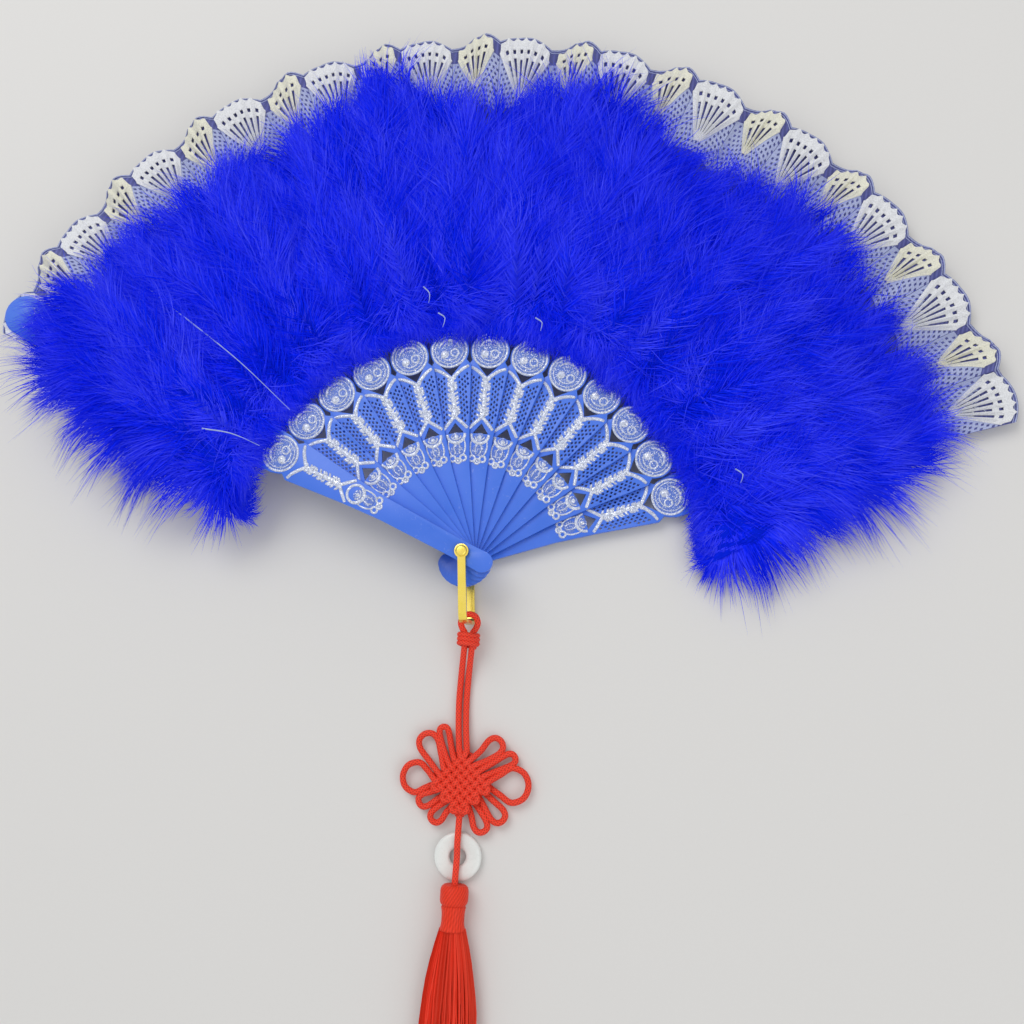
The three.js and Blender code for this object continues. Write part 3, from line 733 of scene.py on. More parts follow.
class GeometryTree(NodeTree):
    """A Geometry Nodes tree with named inputs, run on one object at a time."""

    def __init__(self, name, **inputs):
        super().__init__(bpy.data.node_groups.new(name, "GeometryNodeTree"))
        face = self.tree.interface
        face.new_socket("Geometry", in_out="INPUT", socket_type="NodeSocketGeometry")
        face.new_socket("Geometry", in_out="OUTPUT", socket_type="NodeSocketGeometry")
        self.sockets = {
            key: face.new_socket(
                key.replace("_", " ").capitalize(), in_out="INPUT", socket_type="NodeSocket" + kind
            ).identifier
            for key, kind in inputs.items()
        }
        self.order = ["geometry", *inputs]
        self.entry = self.tree.nodes.new("NodeGroupInput")

    def given(self, key="geometry"):
        """One of the tree's own inputs."""
        return Wire(self, self.entry.outputs[self.order.index(key)])

    def named(self, name, kind="FLOAT"):
        """An attribute of the points."""
        return self.node("GeometryNodeInputNamedAttribute", {"data_type": kind}, {"Name": name})

    def where(self):
        """The points' places."""
        return self.node("GeometryNodeInputPosition")

    def vector(self, operation, first, second):
        return self.node("ShaderNodeVectorMath", {"operation": operation}, {0: first, 1: second})

    def scaled(self, vector, amount):
        sockets = {0: vector, "Scale": amount}
        return self.node("ShaderNodeVectorMath", {"operation": "SCALE"}, sockets)

    def joint(self, x=0, y=0, z=0):
        """A vector of three numbers."""
        return self.node("ShaderNodeCombineXYZ", None, {0: x, 1: y, 2: z})

    def copies(self, instance, **sockets):
        """One instance at each point."""
        sockets = {"Points": self.given(), "Instance": instance, **sockets}
        return self.node("GeometryNodeInstanceOnPoints", None, sockets)

    def moved(self, geometry, **sockets):
        return self.node("GeometryNodeSetPosition", None, {"Geometry": geometry, **sockets})

    def along_aim(self, shape, thick):
        """Lays a shape of unit length and a thickness along each point's aim, as real geometry.

        Its points keep their height on the unit shape as the attribute reach.
        """
        height = self.node("ShaderNodeSeparateXYZ", None, {0: self.where()}, out="Z")
        marked = self.node(
            "GeometryNodeStoreNamedAttribute", {"data_type": "FLOAT", "domain": "POINT"},
            {"Geometry": shape, "Name": "reach", "Value": height},
        )
        aim = self.named("aim", "FLOAT_VECTOR")
        turn = self.node("FunctionNodeAlignRotationToVector", {"axis": "Z"}, {"Vector": aim})
        length = self.node("ShaderNodeVectorMath", {"operation": "LENGTH"}, {0: aim}, out="Value")
        laid = self.copies(marked, Rotation=turn, Scale=self.joint(thick, thick, length))
        return self.node("GeometryNodeRealizeInstances", None, {0: laid})

    def finish(self, geometry, material):
        """Ends the tree in real geometry with its material."""
        self.material = material
        real = self.node("GeometryNodeRealizeInstances", None, {0: geometry})
        painted = self.node("GeometryNodeSetMaterial", None, {0: real, "Material": material})
        self.feed(self.tree.nodes.new("NodeGroupOutput").inputs[0], painted)
        return self

    def run(self, name, source, **values):
        """A new object made by the tree from a source object, which is used up."""
        modifier = source.modifiers.new("tree", "NODES")
        modifier.node_group = self.tree
        for key, value in values.items():
            modifier[self.sockets[key]] = value
        mesh = evaluated(source)
        source.modifiers.remove(modifier)
        bpy.data.objects.remove(source)
        mesh.name = name
        mesh.materials.clear()
        mesh.materials.append(self.material)
        mesh.polygons.foreach_set("material_index", [0] * len(mesh.polygons))
        return in_scene(name, mesh)


def set_attribute(mesh, name, values):
    """Gives each point of a mesh its number or vector."""
    values = np.asarray(values, np.float32)
    kind, field = ("FLOAT", "value") if values.ndim == 1 else ("FLOAT_VECTOR", "vector")
    mesh.attributes.new(name, kind, "POINT").data.foreach_set(field, values.ravel())


def point_cloud(name, points, edges=(), **attributes):
    """An object of bare points in millimetres, each with named numbers or vectors."""
    mesh = bpy.data.meshes.new(name)
    mesh.from_pydata((np.asarray(points) * MM).tolist(), edges, [])
    for key, values in attributes.items():
        set_attribute(mesh, key, values)
    return in_scene(name, mesh)


def bevelled(obj, width, segments, angle):
    """Rounds the edges that are sharper than an angle; the width is in metres."""
    bevel = obj.modifiers.new("bevel", "BEVEL")
    bevel.width = width
    bevel.segments = segments
    bevel.angle_limit = math.radians(angle)
    obj.data = evaluated(obj)
    obj.modifiers.clear()
    return obj


class FAN_OT_stage(Operator):
    """Make the floor, the lamps, the sky and the camera"""

    bl_idname = "fan.stage"
    bl_label = "Stage"

    def lamp(self, name, place, aim, size, power):
        light = bpy.data.lights.new(name, "AREA")
        light.shape = "DISK"
        light.size = size
        light.energy = power
        lamp = in_scene(name, light)
        lamp.location = place
        lamp.rotation_euler = (Vector(aim) - Vector(place)).to_track_quat("-Z", "Y").to_euler()

    def sky(self, world, strength):
        """An even light, a little stronger where the camera or a mirror sees it."""
        world.use_nodes = True
        tree = NodeTree(world.node_tree)
        ray = tree.node("ShaderNodeLightPath", out="Is Camera Ray")
        seen = ray.larger(ray.other("Is Glossy Ray"))
        power = tree.node(
            "ShaderNodeMapRange", None, {"Value": seen, "To Min": strength, "To Max": 0.9}
        )
        background = world.node_tree.nodes["Background"]
        tree.feed(background.inputs["Color"], (1, 1, 1))
        tree.feed(background.inputs["Strength"], power)
        return world

    def camera(self):
        view = bpy.data.cameras.new("camera")
        view.lens = CAMERA_LENS
        view.sensor_width = 36
        view.clip_start = 0.02
        camera = in_scene("camera", view)
        right, down, forward = (Vector(v) for v in (CAMERA_RIGHT, CAMERA_DOWN, CAMERA_FORWARD))
        axes = Matrix((right, -down, -forward)).transposed()
        camera.matrix_world = Matrix.Translation(Vector(CAMERA_PLACE) * MM) @ axes.to_4x4()
        return camera

    def execute(self, context):
        settings = context.scene.fan_stage
        half, drop = 4000, 0.15
        corners = [(-half, -half), (half, -half), (half, half), (-half, half)]
        floor = Form().add([(*corner, -drop) for corner in corners], [(0, 1, 2, 3)])
        floor.object("floor", floor_finish(settings.floor))
        middle = (0, 0.05, 0)
        self.lamp("key", (-0.55, 0.75, 1.15), middle, 1, settings.key)
        self.lamp("fill", (0.9, -0.5, 1), middle, 1.2, settings.fill)
        context.scene.world = self.sky(bpy.data.worlds.new("sky"), settings.sky)
        context.scene.camera = self.camera()
        context.scene.view_settings.view_transform = "Standard"
        return {"FINISHED"}


class Weave:
    """Builds the two strands of the knot in its own plane, +y towards the bail."""

    lanes = 6
    half = KNOT_HALF / math.sqrt(2)
    pitch = 2 * half / lanes
    front, back = 5.2, 2.0  # levels of the two layers
    swing = 0.62  # how far a strand goes over and under the others
    bight = 0.42  # how far the turn between two lanes stands out, in pitches

    def lane(self, k):
        """Distance of a lane from the middle; lane 0 is the first that is woven."""
        return self.half - self.pitch * (k + 0.5)

    def point(self, a, b, level):
        """A place from a, down to the right, and b, up to the right."""
        return ((a + b) / math.sqrt(2), (b - a) / math.sqrt(2), level)

    def ear(self, shape, start):
        """An ear's open loop, from the foot that is nearer to where the strand comes from."""
        (fx, fy), (tx, ty), width = shape
        whole = math.hypot(tx - fx, ty - fy)
        long = whole - EAR_DIAMETER / 2
        ax, ay = (tx - fx) / whole, (ty - fy) / whole
        half, base = (width - EAR_DIAMETER) / 2, self.pitch / 2
        near = min(0.35 * long, long - 1.6 * half)
        side = [
            (near, base + 0.5 * (half - base)), (long - half, half),
            (long - 0.28 * half, 0.72 * half),
        ]
        loop = [
            (fx + ax * far - ay * out, fy + ay * far + ax * out, EAR_LEVEL)
            for far, out in [*side, (long, 0), *[(far, -out) for far, out in reversed(side)]]
        ]
        first, last = (math.dist(foot[:2], start[:2]) for foot in (loop[0], loop[-1]))
        return loop if first < last else loop[::-1]

    def turn_back(self, last, first):
        """The middle of the tight turn from one lane into the next, outside the weave."""
        a, b = np.array(last), np.array(first)
        across = b - a
        normal = np.array([-across[1], across[0], 0]) / np.linalg.norm(across)
        normal *= np.sign(normal[:2] @ (a + b)[:2]) or 1
        return tuple((a + b) / 2 + normal * self.pitch * self.bight)

    def passes(self, place, level, sign, ears):
        """All lanes there and back, with ears on one side of the weave and bights on the other."""
        points = []
        for k in range(self.lanes):
            run = [
                place(k, self.lane(j), level + sign * self.swing * (-1) ** (k + j))
                for j in range(self.lanes)
            ]
            run = [place(k, self.half, level), *run, place(k, -self.half, level)]
            if k % 2:
                run.reverse()
                points.append(self.turn_back(points[-1], run[0]))
            elif k:
                points += self.ear(ears[k // 2 - 1], points[-1])
            points += run
        return points

    def strand(self, side, over, under, entry):
        """From the top, over the front, round the ear of one side, and over the back down."""
        name = "left" if side < 0 else "right"
        front = self.passes(over, self.front, -side, EARS[f"upper_{name}"])
        back = self.passes(under, self.back, -side, EARS[f"lower_{name}"])
        return [
            (side * 1.4, 12.4, 3.6), (side * 1.15, 11.3, entry),
            *front, *self.ear(EARS[name][0], front[-1]), *back,
            (side * 0.75, -11.2, 3.2), (side * 0.5, -12.2, 3.4),
        ]

    def strands(self):
        """The strand of the left side, and the one of the right side, which goes under it."""
        return (
            self.strand(
                -1, lambda k, t, z: self.point(-t, self.lane(k), z),
                lambda k, t, z: self.point(-self.lane(k), -t, z), 4.6,
            ),
            self.strand(
                1, lambda k, t, z: self.point(-self.lane(k), t, z),
                lambda k, t, z: self.point(t, self.lane(k), z), 4.4,
            ),
        )


class FAN_OT_knot(Operator):
    """Weave the decorative knot and wind the binding below the bail"""

    bl_idname = "fan.knot"
    bl_label = "Knot"

    def execute(self, context):
        red = braided_cord(context.scene.fan_tassel.red)
        knot = Form()
        for strand in Weave().strands():
            x, y, level = through(strand, 0.55).T
            path = hang(np.stack([x, KNOT_CENTRE - y, level], axis=-1))
            outside = np.maximum(np.abs(x) + np.abs(y) - KNOT_HALF, 0)
            flat = 0.78 + 0.22 * np.clip(outside / 4, 0, 1)
            knot.add(*rod(path, CORD_DIAMETER, CORD_DIAMETER * flat))
        dress(knot.object("knot", red), "tassel_body", "cord_knot")
        self.binding(red)
        return {"FINISHED"}

    def binding(self, red):
        """Three slanting turns of cord round the two strands."""
        turns, steps, thick, near = 3, 34, 2, 4.3
        radius = CORD_DIAMETER / 2 + thick / 2 - 0.1
        step = np.arange(turns * steps - 3)
        angle = 2 * np.pi * step / steps
        along = near + 0.8 * thick * step / steps + 0.5 * np.cos(angle)
        wraps = np.stack([
            (STRAND_ASIDE + radius) * np.cos(angle), along, LOOP_LEVEL + radius * np.sin(angle)
        ], axis=-1)
        tie = Form().add(*rod(hang(through(wraps, 0.7)), thick, upright=False))
        dress(tie.object("binding", red), "tassel_body", "cord_tie")


class FAN_OT_tassel(Operator):
    """Make the white ring, and the tassel's wound head, neck and skirt of thread"""

    bl_idname = "fan.tassel"
    bl_label = "Ring and tassel"

    def execute(self, context):
        settings = context.scene.fan_tassel
        thread = floss(settings.red)
        for piece, slot, node in (
            (self.ring(white_stone(settings.stone)), "white_stone", "white_ring"),
            (self.head(thread), "red_cord", "tassel_head"),
            (self.skirt(settings, thread), "red_cord", "tassel_skirt"),
        ):
            dress(piece, "tassel_body", node)
        return {"FINISHED"}

    def ring(self, stone):
        """A flat polished ring lying on the floor."""
        middle, half = (RING_RADIUS + RING_HOLE) / 2, (RING_RADIUS - RING_HOLE) / 2
        profile = []
        for a in around(22):
            out, rise = flattened(math.cos(a), 0.8), flattened(math.sin(a), 0.62)
            profile.append((middle + half * out, FLOOR_GAP + RING_THICK / 2 * (1 + rise)))
        points, faces = lathe(profile, 72, closed=True)
        placed = hang(points * (1, -1, 1) + (0, RING_CENTRE, 0))
        return Form().add(placed, faces).object("ring", stone)

    def head(self, thread):
        """Thread wound round the head, and laid straight along the neck."""
        turn, winding, rings = around(64), 0.55, []
        for along in np.arange(0, HEAD_LENGTH + 0.01, winding / 6):
            share = along / HEAD_LENGTH
            barrel = HEAD_RADIUS * (1 - 0.22 * abs(2 * share - 1) ** 5) - 0.12
            slant = 2 * np.pi * along / winding + turn
            thread_top = 0.11 * np.abs(np.sin(slant / 2))
            radius = barrel + thread_top + 0.05 * np.sin(3 * turn + 4 * share)
            rings.append(self.ellipse(turn, HEAD_NEAR + along, HEAD_LEVEL, radius, radius))
        neck_near = HEAD_NEAR + HEAD_LENGTH
        for along in np.linspace(0.05, 1, 16) * NECK_LENGTH:
            share = along / NECK_LENGTH
            waist = NECK_RADIUS + 0.5 * (2 * share - 1) ** 2 + 0.9 * max(0, share - 0.8)
            radius = waist + 0.13 * np.abs(np.sin(16 * turn + 0.7 * math.sin(6 * share)))
            rings.append(self.ellipse(turn, neck_near + along, HEAD_LEVEL, radius, radius))
        first = hang([0, HEAD_NEAR - 0.1, HEAD_LEVEL])
        last = hang([0, neck_near + NECK_LENGTH, HEAD_LEVEL])
        form = Form().add(*turned(rings, first, last))
        piece = form.object("tassel_head_wound", thread)
        k = np.arange(form.count)
        set_attribute(piece.data, "tone", 0.5 + 0.35 * np.sin(91.7 * k) + 0.15 * np.sin(17.3 * k))
        return piece

    def ellipse(self, turn, along, level, wide, high, out=1):
        """Places round the tassel's middle line, at shares of the way out to an ellipse."""
        return hang(np.stack([
            wide * out * np.cos(turn), np.broadcast_to(along, len(turn)),
            level + high * out * np.sin(turn),
        ], axis=-1))

    def skirt(self, settings, thread):
        """Threads that leave the neck together and spread to lie on the floor."""
        rng = np.random.default_rng(settings.seed)
        count = settings.threads
        turn = rng.uniform(0, 2 * np.pi, count)
        out = np.sqrt(rng.uniform(0.25, 1, count))
        first = self.ellipse(turn, SKIRT_NEAR - SKIRT_SUNK, HEAD_LEVEL, *SKIRT_ROOT, out)
        reach = SKIRT_FAR - rng.exponential(0.9, count).clip(0, 5)
        loose = rng.random(count) < LOOSE_THREADS
        wide = np.where(loose, 1.1, 1) * SKIRT_HALF_WIDTH
        last = self.ellipse(
            turn + rng.normal(0, 0.12, count), reach, FLOOR_GAP + SKIRT_HALF_HEIGHT, wide,
            SKIRT_HALF_HEIGHT - 0.4, out,
        )
        tone = (0.5 + 0.5 * np.sin(5 * turn + 9 * out)) * 0.5 + rng.random(count) * 0.5
        side = (hang([1, 0, 0]) - hang([0, 0, 0])) * (out * np.cos(turn))[:, None]
        cloud = point_cloud("skirt_roots", first, aim=(last - first) * MM, side=side, tone=tone)
        piece = skirt_tree(thread).run(
            "tassel_threads", cloud, thread=settings.thread / 2, waver=0.0028, bulge=0.0026
        )
        self.heart(piece)
        return piece

    def heart(self, piece):
        """A closed core that keeps the skirt from being seen through."""
        rings, near, far = [], SKIRT_NEAR - 0.5, SKIRT_FAR - 5
        for share in np.linspace(0, 1, 9):
            spread = share**0.7
            wide = HEART_WIDTH + HEART_SPREAD * spread
            level = HEAD_LEVEL + (FLOOR_GAP + SKIRT_HALF_HEIGHT - HEAD_LEVEL) * spread
            along = near + (far - SKIRT_NEAR) * share
            rings.append(self.ellipse(around(20), along, level, wide, HEART_HEIGHT))
        ends = [ring.mean(axis=0) for ring in (rings[0], rings[-1])]
        points, faces, _ = turned(rings, *ends)
        with edited(piece.data) as core:
            made = [core.verts.new(point * MM) for point in points]
            for face in faces:
                core.faces.new([made[v] for v in face]).smooth = True


def skirt_tree(thread):
    """Geometry Nodes: a thin closed rod from each point along its aim, waving and bowed aside."""
    tree = GeometryTree("skirt_threads", thread="Float", waver="Float", bulge="Float")
    straight = tree.node(
        "GeometryNodeMeshCylinder", {"fill_type": "TRIANGLE_FAN"},
        {"Vertices": 3, "Side Segments": 9, "Radius": 1.0, "Depth": 1.0},
    )
    real = tree.along_aim(tree.moved(straight, Offset=(0, 0, 0.5)), tree.given("thread"))
    reach = tree.named("reach")
    slow = tree.node(
        "ShaderNodeTexNoise", {"noise_dimensions": "4D"},
        {"W": tree.named("tone") * 3, "Scale": 55, "Detail": 1}, out="Color",
    )
    centred = tree.vector("SUBTRACT", slow, (0.5, 0.5, 0.5))
    sway = tree.scaled(centred, reach * tree.given("waver"))
    bow = reach * (4 - reach * 4) * tree.given("bulge")
    aside = tree.scaled(tree.named("side", "FLOAT_VECTOR"), bow)
    return tree.finish(tree.moved(real, Offset=tree.vector("ADD", sway, aside)), thread)


class FAN_OT_cords(Operator):
    """Lay the doubled cord from the knot round the bail, and the cord over the ring"""

    bl_idname = "fan.cords"
    bl_label = "Cords"

    def cord(self, name, node, route, red, far_end, on_it):
        path = hang(through(route, 0.6))
        piece = Form().add(*rod(path, CORD_DIAMETER, sides=14)).object(name, red)
        dress(piece, "tassel_body", node)

    def execute(self, context):
        red = bpy.data.objects["knot"].data.materials[0]
        back = [(-x, along, z) for x, along, z in reversed(UPPER_ROUTE)]
        upper = np.array([*UPPER_ROUTE, (0, -3.3, LOOP_LEVEL), *back])
        bowed = np.clip((upper[:, 1] - BOW_FROM) / (BOW_TO - BOW_FROM), 0, 1)
        upper[:, 0] -= CORD_BOW * np.sin(np.pi * bowed)
        self.cord("cord_doubled", "cord_upper", upper, red, "knot", ["knot", "binding"])
        self.cord(
            "cord_single", "cord_lower", LOWER_ROUTE, red, "fitting",
            ["ring", "tassel_head_wound", "tassel_threads"],
        )
        return {"FINISHED"}


class FAN_OT_metal(Operator):
    """Round the edges of the pin and the bail and plate them"""

    bl_idname = "fan.metal"
    bl_label = "Pin and bail"

    def execute(self, context):
        settings = context.scene.fan_metal
        gold = polished_gold(settings.gold)
        for node, name, body in (
            ("pivot_pin", "pin_plated", "front_guard_body"), ("bail", "bail_plated", "bail_body")
        ):
            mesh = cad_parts[node].data.copy()
            with edited(mesh) as shape:
                bmesh.ops.remove_doubles(shape, verts=shape.verts, dist=1e-6)
                bmesh.ops.dissolve_limit(
                    shape, angle_limit=math.radians(1), verts=shape.verts, edges=shape.edges
                )
            mesh.materials.clear()
            mesh.materials.append(gold)
            piece = bevelled(in_scene(name, mesh), settings.bevel, 3, 35)
            piece.data.shade_smooth()
            piece.data.set_sharp_from_angle(angle=math.radians(50))
            dress(piece, body, node)
        return {"FINISHED"}


def lathe(profile, sides, closed=False):
    """A solid of revolution round +Z from (radius, height) pairs; it ends on the axis if open."""
    points, rows = [], []
    for radius, height in profile:
        count = 1 if radius < 1e-6 else sides
        rows.append([len(points) + k for k in range(count)])
        points += [
            (radius * math.cos(a), radius * math.sin(a), height) for a in around(sides)[:count]
        ]
    faces = []
    pairs = zip(rows, [*rows[1:], rows[0]] if closed else rows[1:])
    for low, high in pairs:
        for j in range(sides):
            k = (j + 1) % sides
            face = (low[j % len(low)], low[k % len(low)], high[k % len(high)], high[j % len(high)])
            faces.append(tuple(dict.fromkeys(face)))
    return np.array(points), faces


def arc(centre, radius, start, stop, count):
    """Points on an arc from one angle to another, in degrees."""
    turn = np.radians(np.linspace(start, stop, count))
    return [(centre[0] + radius * math.cos(a), centre[1] + radius * math.sin(a)) for a in turn]


def mirrored(side):
    """A closed outline from its right side, listed from bottom to top."""
    return [*side, *[(-x, y) for x, y in reversed(side) if abs(x) > 1e-6]]


def stick_angle(i):
    return 90 + ((STICKS + 1) / 2 - i) * OPEN_STEP


def stick_level(i):
    """Height of a stick's underside."""
    if i == STICKS:
        return REAR_GUARD_LEVEL
    level = REAR_GUARD_LEVEL + GUARD_THICK + REAR_GAP + (STICKS - 1 - i) * RIB_PITCH
    return level if i > 1 else level + FRONT_GAP


def stick_kind(i):
    return "front" if i == 1 else "rear" if i == STICKS else "rib"


def stick_node(i):
    kind = stick_kind(i)
    return f"rib_{i}" if kind == "rib" else f"{kind}_guard"


def stick_body(i):
    return f"{stick_node(i)}_body"


def on_stick(i, rise):
    """Turns a mesh whose stick points along +Y into stick i's place."""
    turn = Matrix.Rotation(math.radians(stick_angle(i) - 90), 4, "Z")
    return turn @ Matrix.Translation((0, 0, (stick_level(i) + rise) * MM))


def on_all_sticks(name, patterns, rises, crease=180, replacing=False):
    """Sets a copy of its kind's pattern on each stick, at a height, and removes the patterns."""
    for i in range(1, STICKS + 1):
        kind = stick_kind(i)
        mesh = patterns[kind].data.copy()
        mesh.transform(on_stick(i, rises[kind]))
        mesh.shade_smooth()
        mesh.set_sharp_from_angle(angle=math.radians(crease))
        piece = in_scene(f"{name}_{stick_node(i)}", mesh)
        dress(piece, stick_body(i), stick_node(i) if replacing else None)
    for pattern in patterns.values():
        bpy.data.objects.remove(pattern)


def blade_half(y):
    """Half width of the blade at a radius."""
    return np.interp(y, *zip(*BLADE_EDGE))


def joined(first, *others):
    """Adds other objects' meshes to the first one's, and removes those objects."""
    with edited(first.data) as shape:
        for obj in others:
            shape.from_mesh(obj.data)
            bpy.data.objects.remove(obj)
    return first


def sheet_tree(material):
    """Geometry Nodes: fills outlines, cuts a diamond at each loose point, thickens the sheet."""
    tree = GeometryTree("moulded_sheet", thickness="Float", hole="Float")
    holes = tree.node(
        "GeometryNodeSeparateGeometry", {"domain": "POINT"},
        {"Geometry": tree.given(), "Selection": tree.named("hole")},
    )
    outline = tree.node("GeometryNodeMeshToCurve", None, {"Mesh": holes.other("Inverted")})
    diamond = tree.node("GeometryNodeCurvePrimitiveCircle", None, {"Resolution": 4, "Radius": 1.0})
    half = tree.given("hole")
    cuts = tree.copies(diamond, Points=holes, Scale=tree.joint(half, half * HOLE_STRETCH, 1))
    real = tree.node("GeometryNodeRealizeInstances", None, {0: cuts})
    both = tree.node("GeometryNodeJoinGeometry", None, {0: [outline, real]})
    filled = tree.node("GeometryNodeFillCurve", {"mode": "TRIANGLES"}, {"Curve": both})
    top = tree.node(
        "GeometryNodeExtrudeMesh", {"mode": "FACES"},
        {"Mesh": filled, "Offset": tree.joint(z=1), "Offset Scale": tree.given("thickness"),
         "Individual": False},
    )
    under = tree.node("GeometryNodeFlipFaces", None, {"Mesh": filled})
    whole = tree.node("GeometryNodeJoinGeometry", None, {0: [top, under]})
    merged = tree.node("GeometryNodeMergeByDistance", None, {"Geometry": whole, "Distance": 1e-6})
    return tree.finish(merged, material)


def bead_tree(material):
    """Geometry Nodes: a small rounded bead at each point, turned and sized by its attributes."""
    tree = GeometryTree("relief_beads", height="Float")
    bead = tree.node("GeometryNodeMeshUVSphere", None, {"Segments": 8, "Rings": 4, "Radius": 1.0})
    turn = tree.joint(z=tree.named("turn"))
    rotation = tree.node("FunctionNodeEulerToRotation", None, {"Euler": turn})
    high = tree.joint(1, 1, tree.given("height"))
    scale = tree.vector("MULTIPLY", tree.named("size", "FLOAT_VECTOR"), high)
    return tree.finish(tree.copies(bead, Rotation=rotation, Scale=scale), material)


class FAN_OT_sticks(Operator):
    """Mould the thirteen sticks: perforated ribs, and two plain wide guards"""

    bl_idname = "fan.sticks"
    bl_label = "Sticks"

    def heel(self):
        """The right side of a stick from the end behind the pin up to its shoulder."""
        low = TAIL_RADIUS - TAIL_LENGTH
        return [
            (0, low - TAIL_RADIUS), *arc((0, low), TAIL_RADIUS, -75, 0, 6),
            *[(half, at) for at, half in BLADE_EDGE],
        ]

    def disc_side(self, stop, count):
        notch = math.degrees(math.asin(BLADE_NOTCH / DISC_RADIUS))
        return arc((0, DISC_AT), DISC_RADIUS, notch - 90, stop, count)

    def windows(self):
        """The openings below the roof and above the arms."""
        rim = DISC_RADIUS - UPPER_WINDOW["gap"]
        side = math.degrees(math.asin(UPPER_WINDOW["half"] / rim))
        lower = LOWER_WINDOW
        return [
            [(-lower["half"], lower["base"]), (0, lower["apex"]), (lower["half"], lower["base"])],
            [(0, UPPER_WINDOW["apex"]), *arc((0, DISC_AT), rim, side - 90, -90 - side, 9)],
        ]

    def perforations(self):
        """Staggered rows in the leaf-shaped panels on both sides of the middle."""
        first, last, step = HOLE_ROWS
        places = []
        for column, x in enumerate(HOLE_COLUMNS):
            for y in np.arange(first + step / 2 * (column % 2), last, step):
                clear_of_roof = y > 56.4 - 1.085 * x
                clear_of_arms = y < 67.9 + 0.74 * x
                if clear_of_roof and clear_of_arms and x < blade_half(y) - 0.85:
                    places += [(x, y), (-x, y)]
        return places

    def source(self, loops, holes):
        """An object of outline edges, and loose points where a perforation goes."""
        points, edges = [], []
        for loop in loops:
            first = len(points)
            edges += [(first + k, first + (k + 1) % len(loop)) for k in range(len(loop))]
            points += loop
        marks = [0] * len(points) + [1] * len(holes)
        places = [(x, y, 0) for x, y in [*points, *holes]]
        return point_cloud("outline", places, edges, hole=marks)

    def sheet(self, tree, name, loops, holes, thick, hole):
        source = self.source(loops, holes)
        made = facing_out(tree.run(name, source, thickness=thick * MM, hole=hole))
        return bevelled(made, STICK_BEVEL * MM, 2, 50)

    def execute(self, context):
        settings = context.scene.fan_stick
        tree = sheet_tree(moulded_plastic(settings.plastic))
        blade = mirrored([*self.heel(), *self.disc_side(88, 15)])
        strip = mirrored([
            (STRIP_ROOT, DISC_AT + 1), *arc((0, RIB_LENGTH - STRIP_TIP), STRIP_TIP, 0, 84, 5)
        ])
        tip = (0, GUARD_LENGTH - GUARD_TIP)
        guard = mirrored([
            *self.heel(), *self.disc_side(-8, 5), (BLADE_EDGE[-1][1], DISC_AT),
            *arc(tip, GUARD_TIP, 0, 87, 12),
        ])
        eye = arc((0, 0), PIN_HOLE, 0, 345, 24)
        cuts, holes = [eye, *self.windows()], self.perforations()
        rib = self.sheet(tree, "rib", [blade, *cuts], holes, BLADE_THICK, settings.hole)
        shaft = self.sheet(tree, "shaft", [strip], [], STRIP_THICK, settings.hole)
        shaft.data.transform(Matrix.Translation((0, 0, STRIP_LIFT * MM)))
        joined(rib, shaft)
        front = self.sheet(tree, "front", [guard, eye], [], GUARD_THICK, settings.hole)
        rear = self.sheet(tree, "rear", [guard, *cuts], holes, GUARD_THICK, settings.hole)
        patterns = {"rib": rib, "front": front, "rear": rear}
        on_all_sticks("moulded", patterns, dict.fromkeys(patterns, 0), 40, True)
        return {"FINISHED"}


# The decoration's raised lines: points, widths from end to end, share of the relief's height
PAIRED_LINES = [
    ([(3, 45), (3.3, 42.8), (3, 40.4), (2.2, 38.8)], [0.5, 0.8, 0.7], 1),
    ([(0.5, 43.6), (1.2, 41.6), (0.7, 39.4)], [0.5], 0.8),
    ([(0, 54.4), (2.4, 51.9), (4.7, 49.3)], [1.5, 1.5, 1.3], 1),
    ([(0, 69.5), (2.1, 71.4), (4.9, 73.4), (7.2, 74.3)], [1.7, 1.55, 1.5, 1.25], 1.1),
]
MIDDLE_LINES = [
    (arc((0, 47.2), 3.5, 180, 360, 16), [1.2, 1.5, 1.2], 1),
    (arc((0, 46.9), 2, 195, 345, 9), [0.5, 0.7, 0.5], 0.8),
    ([(0, 54.4), (0.2, 59), (-0.15, 64), (0, 69.6)], [2.9, 2.1, 1.8, 1.9], 0.8),
    (arc((0, DISC_AT), 4.1, 15, 165, 16), [0.4, 1.2, 1.4, 1.2, 0.4], 1),
    (arc((0, DISC_AT), 4.2, 215, 320, 12), [0.3, 0.7, 0.3], 0.8),
]
PAIRED_GUARD_LINES = [
    ([(0.5, 196.5), (2.3, 195.4), (3.4, 193.2), (3, 191.2)], [0.5, 1.1, 0.9, 0.3], 1),
    ([(0.6, 201.3), (2, 203.4), (3.4, 204.3)], [0.4, 0.8, 0.4], 1),
]
GUARD_STEM = ([(0, 197.5), (0.2, 193), (-0.2, 188.5)], [0.8, 0.6, 0.3], 1)
# Rings: middle, radius, width, share of the height
RINGS = [
    ((-2.05, 37.5), 1.15, 0.95, 1), ((2.05, 37.5), 1.15, 0.95, 1), ((0, 36.5), 1, 0.9, 1),
    ((0, DISC_AT), 6.9, 1, 1), ((0, DISC_AT), 5.6, 0.4, 0.8), ((2.1, DISC_AT - 1.3), 1.5, 0.8, 1),
]
CUP_RING = ((0, 46.9), 3.5, 1.2, 1)
# Domes: middle, radius, share of the height, sides, and 1 where it is a thin wash of glitter
DOMES = [
    ((0, 36.5), 0.5, 1, 20, 0), ((0, 41), 2.6, 0.3, 20, 1), ((0, 45.5), 2.4, 0.4, 20, 1),
    ((0, 46.1), 0.9, 1, 20, 0), ((0, DISC_AT), 6.9, 0.4, 40, 1),
    ((-1.9, DISC_AT - 1.6), 1.7, 1.5, 20, 0),
]
